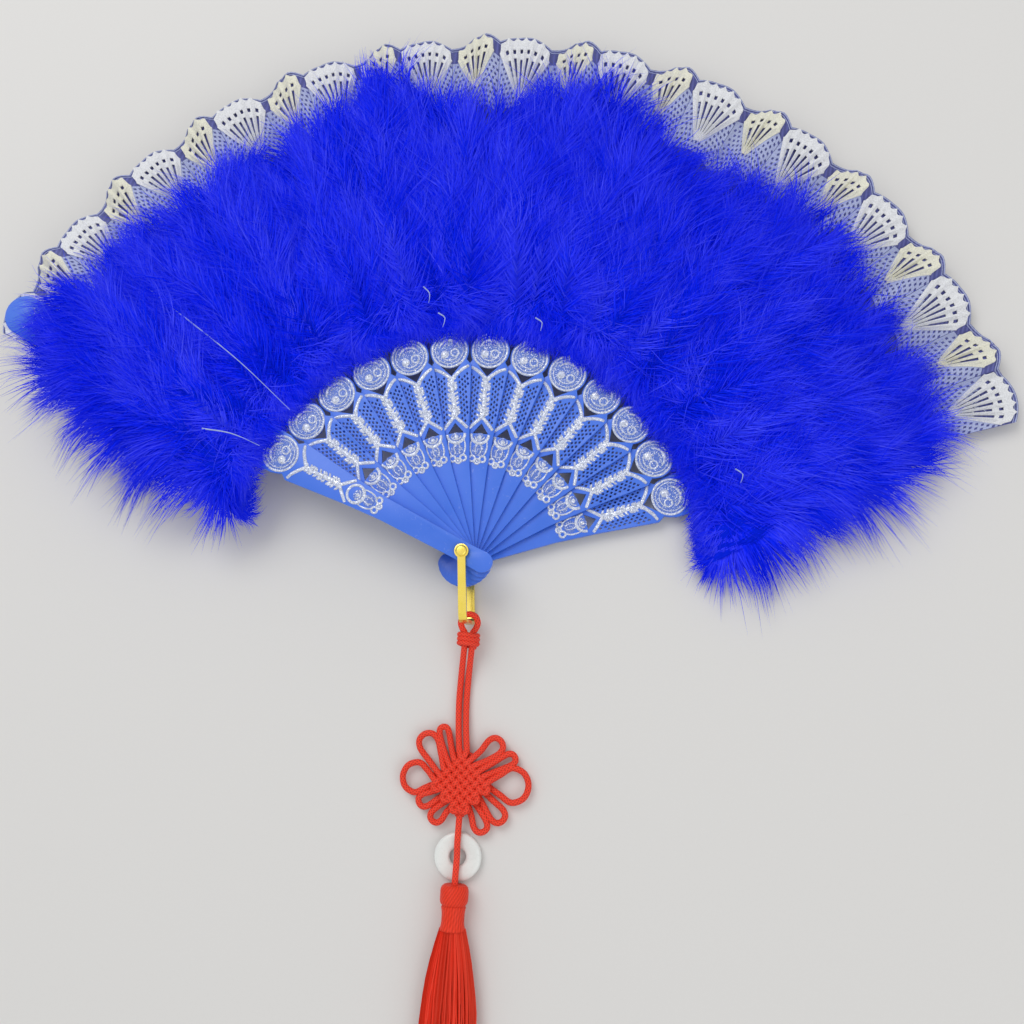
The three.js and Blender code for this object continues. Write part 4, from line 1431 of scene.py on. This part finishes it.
# Flowers: middle, petals, size, turn
FLOWERS = [((0.1, 57.4), 6, 1.4, 0.3), ((-0.1, 62.3), 5, 1.15, 0.9), ((0.05, 66.8), 6, 1.25, 0.1)]
GUARD_FLOWERS = [((0, 199.4), 6, 1.9, 0.2), ((0.9, 194.6), 5, 1.2, 0.6)]


class Relief(Form):
    """The raised decoration of one kind of stick, and its beads, in the stick's own plane."""

    def __init__(self, kind, height):
        super().__init__()
        self.height = height
        self.beads = []
        guard, front = kind != "rib", kind == "front"
        for side in (-1, 1):
            for points, *rest in PAIRED_LINES + PAIRED_GUARD_LINES * guard:
                self.line([(side * x, y) for x, y in points], *rest)
        for line in MIDDLE_LINES + [GUARD_STEM] * guard:
            self.line(*line)
        for ring in RINGS + [CUP_RING] * front:
            self.ring(*ring)
        for dome in DOMES:
            self.dome(*dome)
        self.stem()
        self.arch()
        for flower in FLOWERS + GUARD_FLOWERS * guard:
            self.flower(*flower)
        if guard:
            self.beads += [((side * 4.2, 204.9), (0.7, 0.5), 0.4 * side, 1) for side in (-1, 1)]

    def line(self, points, widths, share):
        """A half-sunk raised line through flat points."""
        path = through([(x, y, 0) for x, y in points], 0.5)
        spread = np.interp(
            np.linspace(0, 1, len(path)), np.linspace(0, 1, len(widths)), widths
        )
        self.add(*rod(path, spread, self.height * share * 2, sides=8))

    def ring(self, centre, radius, width, share):
        profile = [
            (radius + width / 2 * math.cos(a), self.height * share * math.sin(a))
            for a in around(8)
        ]
        points, faces = lathe(profile, 40, closed=True)
        self.add(points + (*centre, 0), faces)

    def dome(self, centre, radius, share, sides, slot):
        height, foot = self.height * share, 0.02
        profile = [
            (radius * math.cos(a), foot + height * math.sin(a))
            for a in np.radians([0, 25, 50, 72])
        ]
        profile = [(0, -0.1), (radius, -0.1), *profile, (0, foot + height)]
        points, faces = lathe(profile, sides)
        self.add(points + (*centre, 0), faces, slot=slot)

    def flower(self, centre, petals, size, turn):
        """A round flower of oval petals with a bead in its middle."""
        for k in range(petals):
            angle = turn + 2 * math.pi * k / petals
            place = (centre[0] + size * math.cos(angle), centre[1] + size * math.sin(angle))
            self.beads.append((place, (0.62 * size, 0.4 * size), angle, 0.9))
        self.beads.append((centre, (0.42 * size, 0.42 * size), 0, 1.5))

    def stem(self):
        """Leaves on both sides of the stem."""
        first, last = 55.2, 69.4
        for k, y in enumerate(np.arange(first, last, 1.42)):
            reach = 2 - 0.7 * (y - first) / (last - first)
            for side in (-1, 1):
                lean = math.radians(48 + 14 * math.sin(2.4 * k))
                place = (side * reach * 0.9, y + 0.4 * math.sin(1.9 * k + side))
                self.beads.append((place, (1.05, 0.55), math.pi / 2 - side * lean, 1))

    def arch(self):
        """An arch of petals in the medallion."""
        for k in range(7):
            turn = math.radians(30 + 20 * k)
            place = (2.6 * math.cos(turn), DISC_AT + 2.6 * math.sin(turn))
            self.beads.append((place, (0.5, 0.28), turn, 0.8))

    def made(self, tree, *finishes):
        """The relief as one object."""
        places, sizes, turns, rises = zip(*self.beads)
        cloud = point_cloud(
            "beads", [(*place, 0) for place in places], turn=turns,
            size=[(long * MM, wide * MM, rise) for (long, wide), rise in zip(sizes, rises)],
        )
        return joined(
            self.object("relief", *finishes), tree.run("beads", cloud, height=self.height * MM)
        )


class FAN_OT_relief(Operator):
    """Raise the glitter decoration on every stick: stem, flowers, roof, arms, cup and medallion"""

    bl_idname = "fan.relief"
    bl_label = "Relief"

    def execute(self, context):
        settings = context.scene.fan_stick
        glitter = glitter_paint("glitter_paint", settings.glitter, 0)
        wash = glitter_paint("glitter_wash", settings.glitter, 0.84, darker(settings.plastic, 0.7))
        tree = bead_tree(glitter)
        made = {
            kind: Relief(kind, settings.relief / MM).made(tree, glitter, wash)
            for kind in ("rib", "front", "rear")
        }
        rib, guard = BLADE_THICK - RELIEF_SUNK, GUARD_THICK - RELIEF_SUNK
        on_all_sticks("relief", made, {"rib": rib, "front": guard, "rear": guard})
        return {"FINISHED"}


def panel_level(i):
    """Height of the underside of the leaf's panel on stick i."""
    if i == 1:
        return stick_level(1) - LEAF_THICK
    return stick_level(i) + (GUARD_THICK if i == STICKS else STRIP_THICK)


def slab(bottom, top, keep=None):
    """A closed sheet between two grids of points; the cells that aren't kept are holes."""
    rows, columns = bottom.shape[:2]
    keep = np.ones((rows - 1, columns - 1), bool) if keep is None else keep
    framed = np.pad(keep, 1)
    under = np.arange(rows * columns).reshape(rows, columns)
    over = under + rows * columns
    faces = []
    for i, j in zip(*np.nonzero(keep)):
        ring = [(i, j), (i, j + 1), (i + 1, j + 1), (i + 1, j)]
        faces.append(tuple(int(over[at]) for at in ring))
        faces.append(tuple(int(under[at]) for at in reversed(ring)))
        beside = [(i, j + 1), (i + 1, j + 2), (i + 2, j + 1), (i + 1, j)]
        for k, at in enumerate(beside):
            if not framed[at]:
                a, b = ring[k], ring[(k + 1) % 4]
                faces.append((int(under[a]), int(under[b]), int(over[b]), int(over[a])))
    points = np.concatenate([bottom.reshape(-1, 3), top.reshape(-1, 3)])
    used, flat = np.unique(np.concatenate([np.array(face) for face in faces]), return_inverse=True)
    ends = np.cumsum([len(face) for face in faces])[:-1]
    return points[used], [tuple(face.tolist()) for face in np.split(flat, ends)]


def raised(points, height):
    """Points moved up by heights of their own."""
    return np.concatenate([points[..., :2], points[..., 2:] + height[..., None]], axis=-1)


def smooth(t):
    t = np.clip(t, 0, 1)
    return t * t * (3 - 2 * t)


class Pleat:
    """One panel of the leaf, or the free fold to its right, as it lies in the open fan."""

    def __init__(self, i, fold, rise):
        self.i, self.fold, self.rise = i, fold, rise
        self.name = f"fold_{i}" if fold else f"panel_{i}"
        self.centre = stick_angle(i) - (PLEAT_SPAN if fold else 0)
        self.half = math.radians(PLEAT_SPAN / 2)

    def wave(self, x, flat):
        """The zigzag across a pleat: level in the middle, up on the left, down on the right."""
        return np.sign(x) * np.clip((np.abs(x) - flat) / (1 - flat), 0, 1.5)

    def height(self, u, radius):
        """Height of the underside at a share from -1, left, to 1, right, and a radius."""
        rise = self.rise * (radius - LEAF_INNER) / (LEAF_OUTER - LEAF_INNER)
        if not self.fold:
            x = -u
            if self.i == 1:
                x = np.minimum(x, 0)
            elif self.i == STICKS:
                x = np.maximum(x, 0)
            flat = GUARD_FLAT if self.i in (1, STICKS) else PLEAT_FLAT
            return panel_level(self.i) + rise * self.wave(x, flat)
        s = (u + 1) / 2
        aside = radius * np.sin(self.half * u) / (2 * BLEND_RADIUS * math.sin(self.half))
        first, last = panel_level(self.i), panel_level(self.i + 1)
        between = last + LEAF_THICK + FOLD_SLACK
        base = first + (between - first) * smooth(s / PLEAT_LIP)
        base = base + (last - between) * smooth((s - 1 + PLEAT_LIP) / PLEAT_LIP)
        return base + rise * self.wave(4 * smooth(0.5 + aside) - 1 - 2 * s, PLEAT_FLAT)

    def place(self, u, radius, lift=0):
        """Points of the pleat in the frame."""
        angle = np.radians(self.centre) - self.half * u
        return np.stack([
            radius * np.cos(angle), radius * np.sin(angle), self.height(u, radius) + lift
        ], axis=-1)

    def from_flat(self, x, y, lift):
        """Points in the frame from sideways and radial lengths on the pleat."""
        radius = np.hypot(x, y)
        return self.place(np.arctan2(x, y) / self.half, radius, lift)

    def carry(self, obj):
        """Lets a panel's object ride on its stick; a fold's object only gets its transform applied.
        """
        if not self.fold:
            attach(obj, stick_body(self.i))
            return
        stick_body(self.i)
        stick_body(self.i + 1)
        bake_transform(obj)


def pleats(rise):
    for i in range(1, STICKS + 1):
        yield Pleat(i, False, rise)
        if i < STICKS:
            yield Pleat(i, True, rise)


def organza(colour):
    """Thin woven cloth, a little see-through, with crossing threads."""
    finish = Finish("leaf_organza", Sheen_Weight=0.3, Sheen_Roughness=0.4)
    across, along = finish.across_and_along()
    weft = (across * (2 * math.pi * WEFT)).sine()
    warp = (along * (2 * math.pi * WARP)).sine()
    thread = weft.larger(warp) * 0.5 + 0.5
    cloudy = finish.noise(60, 3)
    base = finish.mix(thread, darker(colour, 0.5), lighter(colour, 0.08))
    return finish.done(
        Base_Color=finish.mix(0.4 * cloudy, base, lighter(colour, 0.15)),
        Roughness=0.55 - 0.15 * thread,
        Alpha=0.8 + 0.2 * thread,
        Normal=finish.bump(thread, 0.00008, 0.7),
    )


def lace_thread(name, colour):
    """Embroidered thread: fine stitches across the ribs of the lace."""
    finish = Finish(name, Sheen_Weight=0.4, Sheen_Roughness=0.3)
    stitch = finish.cells(1700, 0.8, "Distance")
    patch = finish.noise(130, 3)
    hair = finish.noise(2600, 2, 0.7)
    body = finish.mix(stitch, colour, darker(colour, 0.66))
    return finish.done(
        Base_Color=finish.mix(0.4 * patch, body, darker(colour, 0.8)),
        Roughness=0.6 + 0.2 * hair,
        Normal=finish.bump(stitch + hair * 0.4, 0.00022, 0.9),
    )


class FAN_OT_leaf(Operator):
    """Fold the leaf's panels and free pleats from thin cloth"""

    bl_idname = "fan.leaf"
    bl_label = "Leaf"

    def execute(self, context):
        settings = context.scene.fan_leaf
        cloth = organza(settings.cloth)
        thick = settings.thickness / MM
        us = np.concatenate([[-1, -0.97], np.linspace(-0.9, 0.9, 13), [0.97, 1]])
        vs = np.linspace(0, 1, 25)
        for pleat in pleats(settings.rise / MM):
            u, v = np.meshgrid(us, vs, indexing="ij")
            outer = LEAF_OUTER - SCALLOP_DEPTH * u**2
            radius = LEAF_INNER + (outer - LEAF_INNER) * v
            bottom = pleat.place(u, radius)
            points, faces = slab(bottom, bottom + (0, 0, thick))
            flat = (points - bottom[0, 0])[:, :2] / 100
            corners = [tuple(at) for face in faces for at in flat[list(face)]]
            form = Form().add(points, faces, corners)
            piece = facing_out(form.object(f"cloth_{pleat.name}", cloth, crease=35))
            pleat.carry(piece)
            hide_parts(f"leaf_{pleat.name}")
        return {"FINISHED"}


class FAN_OT_lace(Operator):
    """Sew shell scallops of lace along the leaf's outer edge, large on panels and small on folds"""

    bl_idname = "fan.lace"
    bl_label = "Lace"

    def scallop(self, form, pleat, ribs, width, height, slot, curl):
        """A ribbed shell that opens outward: long slots between its ribs, eyelets in its rim."""
        per_rib, rows = 10, 28
        psi, share = np.meshgrid(
            np.linspace(-1, 1, ribs * per_rib + 1), np.linspace(0.1, 1, rows + 1), indexing="ij"
        )
        lobe = np.abs(np.cos(np.pi * ribs * (psi + 1) / 2))
        corner = 1 - 0.15 * smooth((np.abs(psi) - 0.7) / 0.3)
        reach = share * corner * (1 + 0.05 * (1 - lobe) * share**6)
        x = width * psi * reach
        y = LACE_EDGE - height + (height - SCALLOP_DEPTH * psi**2) * reach
        swell = LACE_RIB * (1 - lobe) ** 0.8 * smooth(share * 2.4)
        swell *= 1 - 0.6 * smooth((share - 0.78) / 0.1)
        rim = LACE_RIM * smooth((share - 0.84) / 0.05)
        bulge = curl * share**2 * (1 - 0.8 * psi**2)
        thick = LACE_THICK + swell + rim
        keep = np.ones((ribs * per_rib, rows), bool)
        for k in range(1, ribs):
            at = k * per_rib
            for half, near, far in ((1, 5, 11), (2, 11, 20 - k % 2), (2, 22, 24)):
                keep[at - half : at + half, near:far] = False
        bottom = pleat.from_flat(x, y, LACE_LIFT + bulge)
        form.add(*slab(bottom, raised(bottom, thick), keep), slot=slot)

    def net(self, form, pleat, width, height, slot):
        """The open net that joins the shells, left out under a shell of this width and height."""
        columns, rows = 25, 21
        u, depth = np.meshgrid(
            np.linspace(-0.99, 0.99, columns + 1), np.linspace(0, 1, rows + 1), indexing="ij"
        )
        radius = LACE_EDGE - NET_INSET - SCALLOP_DEPTH * u**2 - NET_DEPTH * (1 - depth)
        holes = np.zeros((columns, rows), bool)
        holes[1::2, 1::4] = True
        holes[2::2, 3::4] = True
        aside = np.abs(radius * np.sin(pleat.half * u))[:-1, :-1]
        under = aside < width * (radius[:-1, :-1] - LACE_EDGE + height) / height - NET_OVERLAP
        beside = np.pad(under, 1)
        near = sum(beside[a : a + columns, b : b + rows] for a in range(3) for b in range(3)) > 0
        keep = ~under & (near | ~holes)
        bottom = pleat.place(u, radius, NET_LIFT)
        form.add(*slab(bottom, bottom + (0, 0, NET_THICK), keep), slot=slot)

    def thread(self, form, pleat, inset, width, lift, slot):
        """A couched thread that follows the scalloped edge."""
        u = np.linspace(-1, 1, 25)
        radius = LEAF_OUTER - inset - SCALLOP_DEPTH * u**2
        form.add(*rod(pleat.place(u, radius, lift), width, sides=6), slot=slot)

    def execute(self, context):
        settings = context.scene.fan_leaf
        names = ("cream", "straw", "silver")
        cream, straw, silver = range(3)
        finishes = [lace_thread(f"lace_{name}", getattr(settings, name)) for name in names]
        rng = np.random.default_rng(settings.seed)
        for pleat in pleats(settings.rise / MM):
            form = Form()
            curl = rng.uniform(*SHELL_CURL)
            width, height = rng.uniform(*SHELL_WIDTH), rng.uniform(*SHELL_HEIGHT)
            ribs, slot = PANEL_RIBS, cream
            if pleat.fold:
                # a fold's lace takes the yellower tint as painted light and shade of the tilted
                # fold
                ribs, slot = FOLD_RIBS, straw
                width, height = FOLD_SHELL[0] * width, FOLD_SHELL[1] * height
            self.net(form, pleat, width, height, silver)
            self.scallop(form, pleat, ribs, width, height, slot, curl)
            for inset, thick, lift in EDGE_THREADS:
                self.thread(form, pleat, inset, thick, LEAF_THICK + lift, silver)
            piece = facing_out(form.object(f"lace_{pleat.name}", *finishes, crease=40))
            pleat.carry(piece)
            stick_node(pleat.i)
        return {"FINISHED"}


def down(colour):
    """Soft down: each barb has its own tone; a little emission is a painted glow that lifts the
    down out of the shade its barbs cast on one another.
    """
    finish = Finish("feather_down", Specular_IOR_Level=0.02, Emission_Strength=0.14)
    tone, reach = finish.attribute("tone"), finish.attribute("reach")
    fine = finish.noise(700, 2)
    # painted shade and sheen: by reach each barb is darker at its root and lighter at its tip; tone
    # and fine noise are the down's own unevenness
    shade = tone * 0.7 + fine * 0.2 + reach * 0.15
    return finish.done(
        Base_Color=finish.ramp(
            shade, (0.05, darker(colour, 0.62)), (0.3, colour), (1.0, lighter(colour, 0.12))
        ),
        # painted glow: the down gives off a little light of its own colour
        Emission_Color=finish.ramp(shade, (0.1, darker(colour, 0.3)), (0.9, colour)),
        Roughness=0.85 - 0.15 * tone,
        Normal=finish.bump(fine, 0.0002, 0.3),
    )


def quill_finish(colour):
    finish = Finish("feather_quill")
    streak = finish.noise(400, 3)
    return finish.done(
        Base_Color=finish.mix(streak, darker(colour, 0.6), lighter(colour, 0.25)),
        Roughness=0.4 + 0.2 * streak,
    )


def feather_tree(fluff):
    """Geometry Nodes: one tapering barb at each point along its aim, bent towards its tip.

    No barb goes below the floor.
    """
    tree = GeometryTree("feather_barbs", thickness="Float", curl="Float", seed="Int")
    cone = tree.node(
        "GeometryNodeMeshCone", {"fill_type": "NGON"},
        {"Vertices": 3, "Side Segments": 3, "Radius Top": 0.0, "Radius Bottom": 1.0, "Depth": 1.0},
    )
    least, most = 2, 3  # the node's sockets for plain numbers
    stout = tree.node(
        "FunctionNodeRandomValue", {"data_type": "FLOAT"},
        {least: 0.6, most: 1.3, "Seed": tree.given("seed")}, out=1,
    )
    real = tree.along_aim(cone, tree.given("thickness") * stout)
    cloud = tree.node(
        "ShaderNodeTexNoise", None, {"Vector": tree.where(), "Scale": 80.0, "Detail": 1.0},
        out="Color",
    )
    centred = tree.vector("ADD", cloud, (-0.5, -0.5, -0.5))
    swirl = tree.scaled(centred, tree.given("curl"))
    bend = tree.vector("ADD", tree.named("bend", "FLOAT_VECTOR"), swirl)
    reach = tree.named("reach")
    bent = tree.moved(real, Offset=tree.scaled(bend, reach * reach))
    above = tree.vector("MAXIMUM", tree.where(), (-1, -1, FLOOR_GAP * MM))
    return tree.finish(tree.moved(bent, Position=above), fluff)


def radial(angle):
    """Directions away from the pivot at angles in degrees."""
    turn = np.radians(angle)
    return np.stack([np.cos(turn), np.sin(turn)], axis=-1)


def turned_left(flat):
    """Flat vectors turned by a quarter."""
    return np.stack([-flat[..., 1], flat[..., 0]], axis=-1)


def angle_and_radius(plan):
    """The angles, in degrees from -90 up, and the radii of flat places."""
    angle = np.degrees(np.arctan2(plan[:, 1], plan[:, 0]))
    return np.where(angle < -90, angle + 360, angle), np.hypot(*plan.T)


class Share:
    """The room of one share of down: its edges, ground and crown, and the barbs that fill it."""

    def __init__(self, i, pad, rng):
        self.i, self.pad, self.rng = i, pad, rng
        self.middle = stick_angle(i)
        self.end = i in (1, STICKS)
        self.side = 1 if i == 1 else -1
        self.barbs = []

    def edges(self, v):
        """The left and right angles at a share of the radial length; the end shares spill over."""
        spill = (FEATHER_TIP_SPILL + FEATHER_ROOT_SPILL * (1 - v) ** 1.1) * self.end
        left = self.middle + OPEN_STEP / 2 + spill * (self.i == 1)
        return left, self.middle - OPEN_STEP / 2 - spill * (self.i == STICKS)

    def outer(self, angle):
        return np.interp(angle, *zip(*FEATHER_OUTLINE)) - PAD_INSET

    def past(self, angle, radius):
        """How far a place lies beyond the guard's edge, along its arc."""
        aside = radius * np.radians(angle - self.middle) * self.side
        return np.maximum(0, aside - FEATHER_EAVES) * self.end

    def ground(self, angle, radius):
        """Height of the pad's underside; the first share bends down over the guard's edge."""
        base = panel_level(self.i) + PANEL_CLEAR
        if self.i == 1:
            base = stick_level(1) + GUARD_THICK + GUARD_CLEAR
        sag = FEATHER_DROOP * np.minimum(1, self.past(angle, radius) / FEATHER_FALL) ** 1.5
        return base - sag * (self.i == 1)

    def crown(self, angle, radius):
        """Height of the pad itself, which thins out towards its inner and outer edge."""
        v = (radius - PAD_INNER) / (self.outer(angle) - PAD_INNER)
        return 0.6 + self.pad * np.sin(np.pi * np.clip(v, 0.001, 0.999)) ** 0.6

    def pad_object(self, finish):
        """The closed layer under the barbs, ridged like combed down; with no tone of its own it
        takes the down's darkest colours, painted shade between the barbs.
        """
        u, v = np.meshgrid(
            np.linspace(0, 1, 90 if self.end else 44), np.linspace(0, 1, 30), indexing="ij"
        )
        left, right = self.edges(v)
        angle = left + (right - left) * u
        radius = PAD_INNER + (self.outer(angle) - PAD_INNER) * v
        plan = radial(angle) * radius[..., None]
        bottom = np.concatenate([plan, self.ground(angle, radius)[..., None]], axis=-1)
        comb = np.sin(5.1 * angle + 1.7 * np.sin(0.11 * radius + angle))
        comb *= np.sin(0.3 * radius + 3 * angle)
        top = raised(bottom, self.crown(angle, radius) * (0.8 + 0.2 * comb))
        form = Form().add(*slab(bottom, top))
        return facing_out(form.object(f"pad_{self.i}", finish, crease=60))

    def grow(self, plan, aim, bend, tone, rise=0):
        """Plants barbs at plan places: aim and bend carry their lengths in millimetres."""
        angle, radius = angle_and_radius(plan)
        level = self.ground(angle, radius) + self.crown(angle, radius) + BARB_LEVEL + rise
        self.barbs.append((np.column_stack([plan, level]), aim, bend, np.clip(tone, 0, 1)))

    def plume(self, angle, root, length, heading, count):
        """Fluffs a bowed shaft on both sides, from its root out; heading turns it from radial."""
        rng = self.rng
        along = radial(angle + heading)
        across = turned_left(along)
        s = rng.uniform(0.03, 1, (count, 1)) ** 0.85
        bow = rng.uniform(-PLUME_BOW, PLUME_BOW)
        plan = root * radial(angle) + length * (along * s + across * bow * s**2)
        tangent = unit(along + across * 2 * bow * s)
        normal = turned_left(tangent)
        side = rng.choice((-1.0, 1.0), (count, 1))
        spread = np.radians(58 - 40 * s + rng.normal(0, 10, (count, 1)))
        long = (24 - 9 * s) * rng.uniform(0.6, 1.15, (count, 1))
        flat = tangent * np.cos(spread) + normal * side * np.sin(spread)
        aim = np.column_stack([flat * long, rng.uniform(-0.02, 0.36, (count, 1)) * long])
        bend = np.column_stack([(tangent * 0.28 - normal * side * 0.22) * long, -0.24 * long])
        # the plume's own random tone, plus painted sheen and shade: lighter towards the plume's
        # tip, darker at its root
        shade = rng.uniform(0.2, 0.7) + 0.3 * (s[:, 0] - 0.5) + rng.normal(0, 0.1, count)
        rise = 1.8 * np.sin(np.pi * s[:, 0]) + rng.uniform(-0.8, 0.6, count)
        self.grow(plan, aim, bend, shade, rise)

    def scattered(self, v):
        """Random places at shares of the radial length, with their outward and side directions."""
        left, right = self.edges(v)
        angle = left + (right - left) * self.rng.uniform(0, 1, len(v))
        radius = PAD_INNER + (self.outer(angle) - PAD_INNER) * v
        out = radial(angle)
        return out * radius[:, None], out, turned_left(out)

    def fill(self, count):
        """Barbs all over the pad, combed inward at its inner edge, then outward and aside."""
        rng = self.rng
        v = rng.uniform(0, 1, count) ** 1.2
        plan, out, across = self.scattered(v)
        x, y = plan[:, :1], plan[:, 1:]
        beyond = np.clip(self.past(*angle_and_radius(plan)) / 18, 0, 1)[:, None]
        lean = (
            0.5 * np.sin(0.10 * x + 0.06 * y + 1.3) + 0.38 * np.sin(0.21 * y - 0.17 * x)
            + 0.3 * np.sin(0.47 * x + 0.2 * y + 2) + rng.normal(0, 0.27, (count, 1))
        )
        comb = (2 * smooth(v / 0.2 + rng.normal(0, 0.22, count)) - 1)[:, None]
        long = (10 + 12 * smooth(v / 0.3))[:, None] * rng.uniform(0.7, 1.15, (count, 1))
        flat = unit(out * comb * (1 - 0.5 * beyond) + across * (self.side * beyond + lean))
        lift = rng.uniform(0.12, 0.48, (count, 1)) - 0.35 * beyond
        aim = np.column_stack([flat * long, lift * long])
        curl = 0.4 * np.sin(0.33 * x - 0.29 * y) + rng.normal(0, 0.1, (count, 1))
        bend = np.column_stack([across * curl * long, -0.25 * long])
        shade = 0.42 + 0.22 * np.sin(0.25 * x + 0.18 * y)[:, 0] + rng.normal(0, 0.14, count)
        self.grow(plan, aim, bend, shade)

    def fringe(self, count):
        """The inner edge, combed towards the pivot."""
        rng = self.rng
        plan, out, across = self.scattered(rng.uniform(-0.01, 0.05, count))
        long = rng.uniform(6, 11, (count, 1))
        lean = rng.normal(0, 0.5, (count, 1))
        lift = rng.uniform(0, 0.45, (count, 1))
        aim = np.column_stack([unit(across * lean - out) * long, lift * long])
        bend = np.column_stack([across * rng.normal(0, 0.3, (count, 1)) * long, -0.35 * long])
        self.grow(plan, aim, bend, rng.uniform(0.05, 0.55, count))

    def fluff(self, plumes, count):
        """All barbs of the share: rows of plumes, the fill between them and the inner fringe."""
        rng = self.rng
        for k in range(plumes):
            angle = self.middle + OPEN_STEP * ((k * GOLDEN_SHARE) % 1 - 0.5) + rng.uniform(-1, 1)
            length = rng.uniform(*PLUME_LENGTH)
            inward = PLUME_SPREAD * (k / plumes) ** 1.25
            tip = float(self.outer(angle)) + PAD_INSET - PLUME_INSET - inward
            root = max(PAD_INNER + 1, tip - length)
            heading = rng.uniform(-PLUME_HEADING, PLUME_HEADING)
            self.plume(angle, root, length, heading, count)
        self.fill(END_FILL if self.end else FILL)
        self.fringe(END_FRINGE if self.end else FRINGE)
        roots, aims, bends, tones = (np.concatenate(part) for part in zip(*self.barbs))
        return point_cloud("barbs", roots, aim=aims * MM, bend=bends * MM, tone=tones)


class FAN_OT_feathers(Operator):
    """Lay the thirteen shares of down over the middle of the leaf"""

    bl_idname = "fan.feathers"
    bl_label = "Feathers"

    def quills(self, i, finish, settings):
        """Pale shafts that lie between the barbs of share i."""
        form, middle = Form(), stick_angle(i)
        level = (stick_level(1) + GUARD_THICK if i == 1 else panel_level(i) + 1) + settings.pad / MM
        least = middle - OPEN_STEP / 2
        most = 200 if i == 1 else middle + OPEN_STEP / 2
        shafts = [np.array(route) for route in QUILLS if least <= route[0][0] < most]
        for shaft in shafts:
            angle, radius = shaft.T
            hump = QUILL_HUMP * np.sin(np.pi * (np.arange(len(shaft)) + 0.5) / len(shaft))
            points = np.column_stack([radial(angle) * radius[:, None], level + hump])
            path = through(points, 1.5)
            form.add(*rod(path, np.linspace(*QUILL_WIDTH, len(path)), sides=6), slot=1)
        return [form.object(f"quills_{i}", *finish)] if shafts else []

    def execute(self, context):
        settings = context.scene.fan_feather
        fluff = down(settings.blue)
        shaft = quill_finish(settings.quill)
        tree = feather_tree(fluff)
        for i in range(1, STICKS + 1):
            share = Share(i, settings.pad / MM, np.random.default_rng(settings.seed + 40 * i))
            piece = tree.run(
                f"down_{i}", share.fluff(settings.plumes, settings.barbs),
                thickness=settings.barb / 2, curl=settings.curl, seed=settings.seed + i,
            )
            piece.data.shade_smooth()
            piece.data.materials.append(shaft)
            joined(piece, share.pad_object(fluff), *self.quills(i, (fluff, shaft), settings))
            dress(piece, stick_body(i), f"feathers_{i}")
            if i > 1:
                level = (panel_level(i) + DOWN_REST) * MM
                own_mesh(piece)
        return {"FINISHED"}


class FAN_PT_panel(Panel):
    """Lists the fan's settings and the steps that make it"""

    bl_label = "Feathered folding fan"
    bl_idname = "FAN_PT_panel"
    bl_space_type = "VIEW_3D"
    bl_region_type = "UI"
    bl_category = "Fan"

    def draw(self, context):
        for group, steps in PANEL_ROWS:
            box = self.layout.box()
            settings = getattr(context.scene, group)
            for key in settings.bl_rna.properties.keys():
                if key not in ("rna_type", "name"):
                    box.prop(settings, key)
            for step in steps:
                box.operator(step.bl_idname)


SETTINGS = {
    "fan_stage": FanStageSettings,
    "fan_tassel": FanTasselSettings,
    "fan_metal": FanMetalSettings,
    "fan_stick": FanStickSettings,
    "fan_leaf": FanLeafSettings,
    "fan_feather": FanFeatherSettings,
}
PANEL_ROWS = [
    ("fan_stage", [FAN_OT_stage]),
    ("fan_tassel", [FAN_OT_knot, FAN_OT_tassel, FAN_OT_cords]),
    ("fan_metal", [FAN_OT_metal]),
    ("fan_stick", [FAN_OT_sticks, FAN_OT_relief]),
    ("fan_leaf", [FAN_OT_leaf, FAN_OT_lace]),
    ("fan_feather", [FAN_OT_feathers]),
]
OPERATORS = [step for _, steps in PANEL_ROWS for step in steps]


def register():
    for item in (*SETTINGS.values(), *OPERATORS, FAN_PT_panel):
        bpy.utils.register_class(item)
    for name, group in SETTINGS.items():
        setattr(bpy.types.Scene, name, PointerProperty(type=group))


def unregister():
    for name in SETTINGS:
        delattr(bpy.types.Scene, name)
    for item in (FAN_PT_panel, *reversed(OPERATORS), *reversed(SETTINGS.values())):
        bpy.utils.unregister_class(item)


def main():
    register()
    for step in OPERATORS:
        family, name = step.bl_idname.split(".")
        getattr(getattr(bpy.ops, family), name)()


if __name__ == "__main__":
    main()
